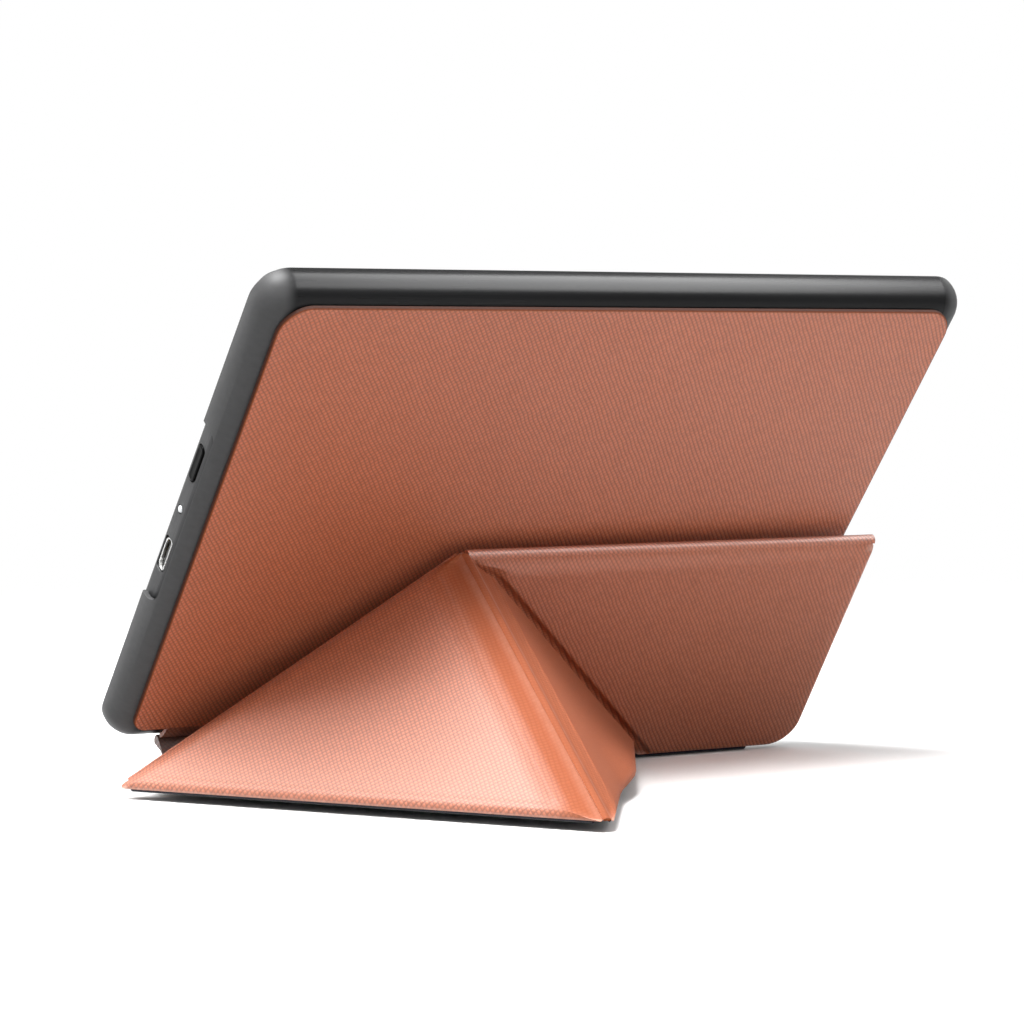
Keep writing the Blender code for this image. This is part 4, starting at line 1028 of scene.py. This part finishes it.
# The groove's leather is painted darker: painted shade in the crease.
GROOVE_SHADE = -0.35
GROOVE_SMOOTH = 0.6
GROOVE_TURN = Matrix.Rotation(-SIDE_FOLD, 3, GROOVE_AXIS)
into_flap = Vector((GROOVE_AXIS.y, -GROOVE_AXIS.x, 0.0))
groove_half = [into_flap * inset - Vector((0, 0, depth - lift))
               for lift in (0.0, GROOVE_LEATHER) for inset, depth in GROOVE_SECTION]
half_count = len(GROOVE_SECTION)
far_half = [GROOVE_TURN @ Vector((-point.x, -point.y, point.z)) if point.xy.length > 0.01 else point
            for point in groove_half]
groove_section = groove_half[:half_count] + far_half[half_count - 2::-1]
groove_section += far_half[half_count:-1] + groove_half[:half_count - 1:-1]
groove_run = (GROOVE_END - VERTEX).length - sum(GROOVE_ENDS)
groove_rings = []
for step in range(RUN_STEPS + 1):
    along = VERTEX_3D + GROOVE_AXIS * (GROOVE_ENDS[0] + groove_run * step / RUN_STEPS)
    groove_rings.append([along + point for point in groove_section])
groove_form = flatten(loft(groove_rings), cover_flat, lambda point: GROOVE_SHADE, lambda point: GROOVE_SMOOTH)
groove = piece("groove_leather", groove_form, FLAP_FRAME, brown_leather, 60)
FLAP_FRAME @ ((VERTEX_3D + groove_half[0]) * MM)
FLAP_FRAME @ ((VERTEX_3D + far_half[0]) * MM)
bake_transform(groove)
for name, strips in (("hinge_panel", [stem_roll, leg_roll]), ("flap_panel", [groove]), ("leg_panel", [ridge_roll]),
                     ("brace_panel", [])):
    name + "_board"
    name + "_board"


# Studio: a pale floor that fades out, three soft boxes overhead, three panels that show only as sheen, a white
# surround, and the camera low behind the stand, looking at its left corner.
FLOOR_HALF = 0.8
FADE_FROM = 0.28
FADE_TO = 0.75


def seen(paint):
    """One where a surface is seen straight, in a mirror or through glass, and zero where it only lights others."""
    ways = [paint.node("LightPath", None, None, "Is %s Ray" % way) for way in ("Camera", "Glossy", "Transmission")]
    return paint.maths("MINIMUM", sum(ways), 1.0)


def pale_floor(paint):
    place = paint.object_place()
    cloud = paint.noise(place, 3, 2.0)
    away = paint.node("VectorMath", {"operation": "LENGTH"}, {0: place}, "Value")
    fade = paint.ease(away, FADE_FROM, FADE_TO, 1.0, 0.0)
    unseen = paint.mix(cloud, colour(0.36, 0.36, 0.36), colour(0.38, 0.38, 0.38))
    return {"Base Color": paint.mix(seen(paint), unseen, colour(0.95, 0.95, 0.95)),
            "Roughness": 0.9 + 0.05 * cloud, "Alpha": fade}


floor_form = bmesh.new()
bmesh.ops.create_grid(floor_form, x_segments=4, y_segments=4, size=FLOOR_HALF)
floor_mesh = bpy.data.meshes.new("floor")
floor_form.to_mesh(floor_mesh)
floor_form.free()
floor_mesh.materials.append(finish("floor_paper", {"Specular IOR Level": 0.0}, pale_floor))
floor = put("floor", floor_mesh)


AIM = Vector((0.0, 0.0, 0.05))


def soft_box(name, place, size, watts, tall=Vector((0.0, 0.0, 1.0)), gloss_only=False):
    """A lit panel aimed at the stand, with its long side along a given direction."""
    lamp = bpy.data.lights.new(name, "AREA")
    lamp.shape = "RECTANGLE"
    lamp.size, lamp.size_y = size
    lamp.energy = watts
    box = put(name, lamp)
    box.visible_diffuse = not gloss_only
    back = (Vector(place) - AIM).normalized()
    side = tall.cross(back).normalized()
    box.matrix_world = Matrix.Translation(place) @ Matrix((side, back.cross(side), back)).transposed().to_4x4()


BOX_SIZE = (0.45, 0.45)
KEY_PLACE = (-0.36, -0.20, 0.95)
ALONG_BACK = Vector((0.0, 0.83, 0.56))
soft_box("left_box", (-0.46, 0.38, 1.0), BOX_SIZE, 6.6)
soft_box("right_box", (0.60, -0.20, 0.90), BOX_SIZE, 1.2)
soft_box("key_box", KEY_PLACE, BOX_SIZE, 18.5)
soft_box("key_sheen", KEY_PLACE, BOX_SIZE, 50.0, gloss_only=True)
soft_box("rim_strip", (0.56, -0.50, 0.80), (0.42, 1.1), 36.0, ALONG_BACK, True)
soft_box("end_card", (-0.75, 0.65, 0.08), (0.8, 0.4), 3.2, gloss_only=True)

SURROUND_LIGHT = 0.64
world = bpy.data.worlds.new("surround")
bpy.context.scene.world = world
world.use_nodes = True
surround = Tone(world.node_tree)
strength = SURROUND_LIGHT + (1.0 - SURROUND_LIGHT) * seen(surround)
background = world.node_tree.nodes["Background"]
background.inputs["Color"].default_value = colour(1.0, 1.0, 1.0)
world.node_tree.links.new(strength.socket, background.inputs["Strength"])

CAMERA_PLACE = (-0.38821, -0.5869, 0.08509)
CAMERA_RIGHT = Vector((0.84522, -0.53437, -0.00744))
CAMERA_UP = Vector((0.02668, 0.02828, 0.99924))
CAMERA_TOWARDS = Vector((0.53375, 0.84478, -0.03816))
camera_lens = bpy.data.cameras.new("camera")
camera_lens.sensor_width = 36.0
camera_lens.lens = 118.9
camera = put("camera", camera_lens)
camera_turn = Matrix((CAMERA_RIGHT, CAMERA_UP, -CAMERA_TOWARDS)).transposed().to_4x4()
camera.matrix_world = Matrix.Translation(CAMERA_PLACE) @ camera_turn
bpy.context.scene.camera = camera
bpy.context.scene.view_settings.view_transform = "Standard"
